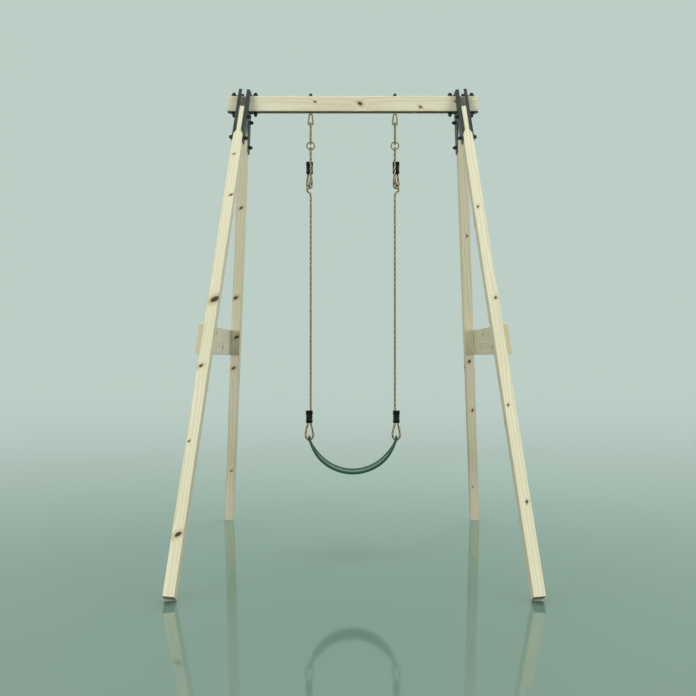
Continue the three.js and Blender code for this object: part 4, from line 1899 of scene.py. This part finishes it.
    def ring(self) -> BMesh:
        """The ring that the rope goes over.

        Returns:
            The mesh.
        """
        centre = (0, 0, self.ring_middle)
        wire = BentWire(self.ring_wire, (self.ring_bend, 0, self.ring_middle), Z_AXIS)
        return wire.bend(centre, -Y_AXIS, 360, 56).closed()

    def washer(self) -> BMesh:
        """The washer under the beam.

        Returns:
            The mesh.
        """
        top = self.stand.beam_height - self.stand.wide / 2 - self.stand.gap
        low, outer, inner = top - 2 * MM, 12 * MM, 5.3 * MM
        soft = 0.5 * MM
        rim = arc((outer - soft, low + soft), soft, -90, 0, 3)
        return turned([(inner, top), (inner, low), *rim, (outer, top), (inner, top)], 40)

    def hang(self, side: Side) -> None:
        """Makes one hanger.

        Args:
            side: Which rope it holds.
        """
        name = side.word
        place = shift(side.value * self.across, 0, 0)
        gate_body = Body.GATE_LEFT if side is Side.LEFT else Body.GATE_RIGHT
        beam_top = self.stand.beam_height + self.stand.wide / 2 + self.stand.gap
        nut = self.fasteners.cap_nut(self.fasteners.nut_high, self.fasteners.nut_hex)
        bmesh.ops.translate(nut, vec=(0, 0, beam_top), verts=nut.verts)
        rows = (
            ("hanger_eye_bolt", self.eye_bolt(), Body.STAND, Slot.ZINC, self.zinc),
            ("hanger_nut", nut, Body.STAND, Slot.STEEL, self.steel),
            ("hanger_washer", self.washer(), Body.STAND, Slot.STEEL, self.steel),
            ("carabiner_body", self.link_body(), Body.CARABINERS, Slot.ZINC, self.zinc),
            ("carabiner_gate", self.link_gate(), gate_body, Slot.ZINC, self.zinc),
            ("carabiner_pin", self.pin_shape(), Body.CARABINERS, Slot.ZINC, self.zinc),
            ("rope_ring", self.ring(), Body.ROPES, Slot.ZINC, self.zinc),
        )
        for kind, shape, body, slot, material in rows:
            piece = Piece(f"forged_{kind}_{name}", body, slot, material, (f"{kind}_{name}",))
            piece.finish(shape, place)

    def build(self) -> None:
        """Makes both hangers."""
        for side in Side:
            self.hang(side)


# ---------------------------------------------------------------- rope locks and the belt


@dataclass(frozen=True)
class RopeLocks:
    """The ribbed plastic locks that clamp two turns of rope side by side."""

    material: Material
    bore: float = 5.7 * MM
    spacing: float = 6.5 * MM
    core: float = 6.5 * MM
    rib: float = 9.5 * MM
    high: float = 57 * MM
    bands: tuple[tuple[float, float], ...] = ((0, 13), (17.4, 22.2), (26.6, 31.4), (35.8, 57))
    lower: Point = (199.5 * MM, 0, 593 * MM)
    upper: Point = (199 * MM, 10 * MM, 1737 * MM)
    soften: float = 1.0 * MM
    shoulder: float = 2.8 * MM
    taper: tuple[float, float] = (2.0 * MM, 6.5 * MM)  # how far in the foot is drawn, and how high up

    def outline(self) -> list[tuple[float, float]]:
        """The radius of each end of the lock's section at each height, from the bottom to the top.

        Returns:
            Pairs of a radius and a height.
        """
        steps: list[tuple[float, float]] = []
        for low, high in self.bands:
            low, high = low * MM, high * MM
            first = arc((self.rib - self.soften, low + self.soften), self.soften, -90, 0, 3)
            last = arc((self.rib - self.soften, high - self.soften), self.soften, 0, 90, 3)
            if low > 0:
                first = [(self.core, low), *first]
            else:
                drawn, up = self.taper
                foot = arc((self.rib - drawn - self.soften, self.soften), self.soften, -90, 0, 3)
                first = [*foot, (self.rib, up)]
            if high < self.high - MERGE:
                last = [*last, (self.core, high)]
            else:
                last = arc((self.rib - self.shoulder, high - self.shoulder), self.shoulder, 0, 90, 6)
            steps += [*first, *last]
        return steps

    def spread(
        self, layer: bmesh.types.BMLayerItem, verts: Iterable[BMVert], radius: float, height: float
    ) -> None:
        """Puts a ring of points on the lock's outline: two half circles about the two bores.

        Args:
            layer: The layer that marks the necks between the ribs, which get a painted highlight.
            verts: The ring.
            radius: The half circles' radius.
            height: The ring's height.
        """
        for vert in verts:
            # the necks are marked for the painted highlight
            vert[layer] = 1.0 if radius <= self.core + MERGE else 0.0
            middle = Vector((math.copysign(self.spacing, vert.co.x), 0))
            away = (vert.co.xy - middle).normalized()
            if abs(vert.co.x) <= self.spacing * 0.99:
                away = Vector((0, math.copysign(1, vert.co.y)))
                middle = Vector((vert.co.x, 0))
            flat = middle + away * radius
            vert.co = (flat.x, flat.y, height)

    def body(self) -> BMesh:
        """The lock's mesh, standing on Z = 0 with its two bores beside each other.

        Returns:
            The mesh.
        """
        shape = bmesh.new()
        layer = edge_mark(shape)
        steps = self.outline()
        made = bmesh.ops.create_circle(shape, segments=44, radius=steps[0][0])
        for vert in made["verts"]:
            vert.co.x += math.copysign(self.spacing, vert.co.x)
        rim = list(shape.edges)
        self.spread(layer, made["verts"], *steps[0])
        for radius, height in steps[1:]:
            fresh, rim = draw_on(shape, rim)
            self.spread(layer, fresh, radius, height)
        rims = open_edges(shape)
        holes: dict[float, list[list[BMEdge]]] = {}
        for height in (0.0, self.high):
            holes[height] = [self.hole(shape, turn * self.spacing, height) for turn in (-1, 1)]
            outer = [e for e in rims if abs(e.verts[0].co.z - height) < MERGE]
            edges = [*outer, *holes[height][0], *holes[height][1]]
            bmesh.ops.triangle_fill(shape, edges=edges, use_beauty=True, use_dissolve=False)
        for below, above in zip(holes[0.0], holes[self.high]):
            bmesh.ops.bridge_loops(shape, edges=[*below, *above])
        bmesh.ops.recalc_face_normals(shape, faces=shape.faces)
        return shape

    def hole(self, shape: BMesh, across: float, height: float) -> list[BMEdge]:
        """A circle for the mouth of a bore.

        Args:
            shape: The mesh that gets it.
            across: Where its middle is.
            height: Its height.

        Returns:
            Its edges.
        """
        place = shift(across, 0, height)
        made = bmesh.ops.create_circle(shape, segments=24, radius=self.bore, matrix=place)
        return list({edge for vert in made["verts"] for edge in vert.link_edges})

    def build(self) -> None:
        """Makes the four locks."""
        for side in Side:
            for level, (x, y, z) in (("lower", self.lower), ("upper", self.upper)):
                node = f"rope_lock_{level}_{side.word}"
                piece = Piece(f"moulded_{node}", Body.ROPES, Slot.PLASTIC, self.material, (node,))
                piece.finish(self.body(), shift(side.value * x, y, z))


@dataclass(frozen=True)
class Station:
    """One place along the belt: the middle of its section, which way is out, and its sizes."""

    middle: Vector
    outwards: Vector
    half_thick: float
    half_web: float
    half_wide: float


@dataclass(frozen=True)
class BeltSeat:
    """The moulded belt: a strap bent to a half circle, with a sunk web between its two thick rims,
    and narrow ends with an eye for the rope."""

    rubber: Material
    eyelet: Material
    centre: float = 577 * MM
    outer: float = 212 * MM
    inner: float = 200 * MM
    half_wide: float = 70 * MM
    web_out: float = 208.5 * MM
    web_in: float = 203.5 * MM
    rim: float = 11 * MM
    neck: float = 22 * MM
    sweep: float = 73
    web_sweep: float = 62
    wide_below: float = 425 * MM
    narrow_above: float = 505 * MM
    tab_top: float = 536 * MM
    tab_middle: float = 199 * MM
    tab_half_thick: float = 4 * MM
    hole: tuple[float, float] = (517.5 * MM, 7 * MM)
    corner_steps: int = 5
    # how strongly the rims' corners get the painted highlight
    rim_highlight: float = 0.35

    def half_width(self, height: float) -> float:
        """How wide half the belt is at a height.

        Args:
            height: The height.

        Returns:
            Half of the width.
        """
        crown = self.tab_top - self.neck
        if height > crown:
            return math.sqrt(max(self.neck**2 - (height - crown) ** 2, 0))
        share = min(max((height - self.wide_below) / (self.narrow_above - self.wide_below), 0), 1)
        eased = share * share * (3 - 2 * share)
        return self.half_wide + (self.neck - self.half_wide) * eased

    def stations(self) -> list[Station]:
        """The belt's sections from its left end to its right end.

        Returns:
            The sections.
        """
        count = 120
        arc_part = [self.on_arc(self.sweep * (2 * i / count - 1)) for i in range(count + 1)]
        foot = arc_part[-1]
        steps = 12
        right = []
        for index in range(1, steps + 1):
            share = math.sin(QUARTER * index / steps)
            height = foot.middle.z + (self.tab_top - foot.middle.z) * share
            settle = min(1, 2.2 * share)
            across = foot.middle.x + (self.tab_middle - foot.middle.x) * settle
            thick = foot.half_thick + (self.tab_half_thick - foot.half_thick) * settle
            out = foot.outwards.lerp(X_AXIS, settle).normalized()
            wide = max(self.half_width(height), 1.2 * MM)
            right.append(Station(Vector((across, 0, height)), out, thick, thick, wide))
        left = [
            Station(Vector((-s.middle.x, 0, s.middle.z)), Vector((-s.outwards.x, 0, s.outwards.z)), *sizes)
            for s in reversed(right)
            for sizes in [(s.half_thick, s.half_web, s.half_wide)]
        ]
        return [*left, *arc_part, *right]

    def on_arc(self, degrees: float) -> Station:
        """A station on the belt's half circle.

        Args:
            degrees: Where it is, from the lowest point.

        Returns:
            The station.
        """
        turn = math.radians(degrees)
        out = Vector((math.sin(turn), 0, -math.cos(turn)))
        middle = Vector((0, 0, self.centre)) + out * (self.outer + self.inner) / 2
        fade = min(max((self.web_sweep + 2 - abs(degrees)) / 4, 0), 1)
        full, web = (self.outer - self.inner) / 2, (self.web_out - self.web_in) / 2
        taper = min(max((abs(degrees) - self.web_sweep) / (self.sweep - self.web_sweep), 0), 1)
        thick = full + (self.tab_half_thick + 0.6 * MM - full) * taper
        return Station(middle, out, thick, thick + (web - full) * fade, self.half_width(middle.z))

    def section(self, station: Station) -> list[Vector]:
        """The points of the belt's section at a station, once round.

        Args:
            station: The station.

        Returns:
            The points.
        """
        wide = station.half_wide
        rim = min(self.rim, wide * 0.42)
        soft = min(1.6 * MM, wide * 0.3, station.half_thick * 0.5)
        crown = min(4.5 * MM, wide * 0.3, station.half_thick * 0.8)
        corner = [
            (wide - crown + dx, station.half_thick - crown + dy)
            for dx, dy in arc((0, 0), crown, 0, 90, self.corner_steps)
        ]
        inside = [
            (wide - rim + soft, station.half_thick),
            (wide - rim + soft * 0.3, station.half_thick - soft * 0.15),
            (wide - rim, station.half_web + (station.half_thick - station.half_web) * 0.45),
            (wide - rim - soft * 0.5, station.half_web),
        ]
        web = [(wide - rim - soft * 0.5) * share for share in (0.66, 0.33, 0.0)]
        quarter = [*corner, *inside, *((y, station.half_web) for y in web)]
        upper = [*quarter, *((-y, r) for y, r in reversed(quarter[:-1]))]
        loop = [*upper, *((-y, -r) for y, r in upper)]
        return [station.middle + station.outwards * r + Y_AXIS * y for y, r in loop]

    def strap(self) -> BMesh:
        """The belt's mesh, drawn through its stations.

        Returns:
            The mesh.
        """
        stations = self.stations()
        shape = bmesh.new()
        layer = edge_mark(shape)
        first = self.section(stations[0])
        ring = list(bmesh.ops.create_circle(shape, segments=len(first), radius=1)["verts"])
        rim = list(shape.edges)
        half = len(first) // 2
        for vert, point in zip(ring, first):
            vert.co = point
        for station in stations[1:]:
            fresh, rim = draw_on(shape, rim)
            ring = Ropes.matched(ring, fresh)
            for index, (vert, point) in enumerate(zip(ring, self.section(station))):
                vert.co = point
                from_end = min(index % half, half - 1 - index % half)
                # painted highlight: the rims' rounded corners are marked to be made lighter
                vert[layer] = self.rim_highlight if from_end <= self.corner_steps else 0.0
        bmesh.ops.holes_fill(shape, edges=open_edges(shape), sides=0)
        return heal(shape)

    def cut_eye(self, belt: Object) -> None:
        """Cuts the eye for the rope through both ends of the belt.

        Args:
            belt: The belt.
        """
        height, radius = self.hole
        reach = self.outer + 30 * MM
        drill = turned([(0, -reach), (radius, -reach), (radius, reach), (0, reach)], 32)
        place = shift(0, 0, height) @ rotation(QUARTER, "Y")
        bmesh.ops.transform(drill, matrix=place, verts=drill.verts)
        mesh = new_mesh(drill, "drill")
        tool = show("drill", mesh)
        cut = belt.modifiers.new("eye", "BOOLEAN")
        cut.operation, cut.object, cut.solver = "DIFFERENCE", tool, "EXACT"
        bpy.context.view_layer.update()
        cut_belt = belt.evaluated_get(bpy.context.evaluated_depsgraph_get())
        made = bpy.data.meshes.new_from_object(cut_belt)
        belt.modifiers.clear()
        old, belt.data = belt.data, made
        bpy.data.meshes.remove(old)
        bpy.data.objects.remove(tool)
        bpy.data.meshes.remove(mesh)
        shade(made)

    def eyelets(self) -> None:
        """The black liners in the belt's two eyes."""
        height, radius = self.hole
        half, flange = self.tab_half_thick + 0.3 * MM, radius + 3.6 * MM
        lip = 1.1 * MM
        bore = radius - 1.0 * MM
        outline = [
            (bore, -half - lip),
            *arc((flange - lip, -half), lip, -90, 0, 4),
            (radius - 0.1 * MM, -half + 0.2 * MM),
            (radius - 0.1 * MM, half - 0.2 * MM),
            *arc((flange - lip, half), lip, 0, 90, 4),
            (bore, half + lip),
            (bore, -half - lip),
        ]
        for side in Side:
            place = shift(side.value * self.tab_middle, 0, height) @ rotation(QUARTER, "Y")
            piece = Piece(f"belt_eyelet_{side.word}", Body.SEAT, Slot.PLASTIC, self.eyelet)
            piece.finish(turned(outline, 36), place)

    def build(self) -> None:
        """Makes the belt and the liners of its eyes."""
        piece = Piece("belt_strap", Body.SEAT, Slot.BELT, self.rubber, ("belt_seat",))
        self.cut_eye(piece.finish(self.strap()))
        self.eyelets()


# ---------------------------------------------------------------- the whole swing set


def main() -> None:
    """Builds the studio and then the swing set, sub-assembly by sub-assembly."""
    logging.basicConfig(level=logging.INFO, format="%(name)s %(message)s")
    Studio().build()
    Ropes().build()
    stand = Stand()
    coat = PowderCoat().build("satin_black_coat")
    glossier = PowderCoat(tint(26, 28, 28), tint(38, 40, 40), tint(84, 86, 84), 0.34)
    bolts = glossier.build("black_fasteners")
    zinc = ZincPlate().build("yellow_zinc")
    plastic = Moulding(tint(9, 10, 10), tint(15, 16, 16), tint(96, 98, 97), 0.45, specular=0.22)
    black = plastic.build("black_moulding")
    green = Moulding(tint(18, 66, 46), tint(28, 82, 60), tint(54, 112, 86), 0.28, 520, 0.12 * MM)
    Timber(stand).build()
    Brackets(stand, coat).build()
    fasteners = Fasteners(stand, bolts)
    fasteners.build()
    Hangers(stand, fasteners, zinc, bolts).build()
    RopeLocks(black).build()
    BeltSeat(green.build("green_belt"), black).build()


if __name__ == "__main__":
    main()
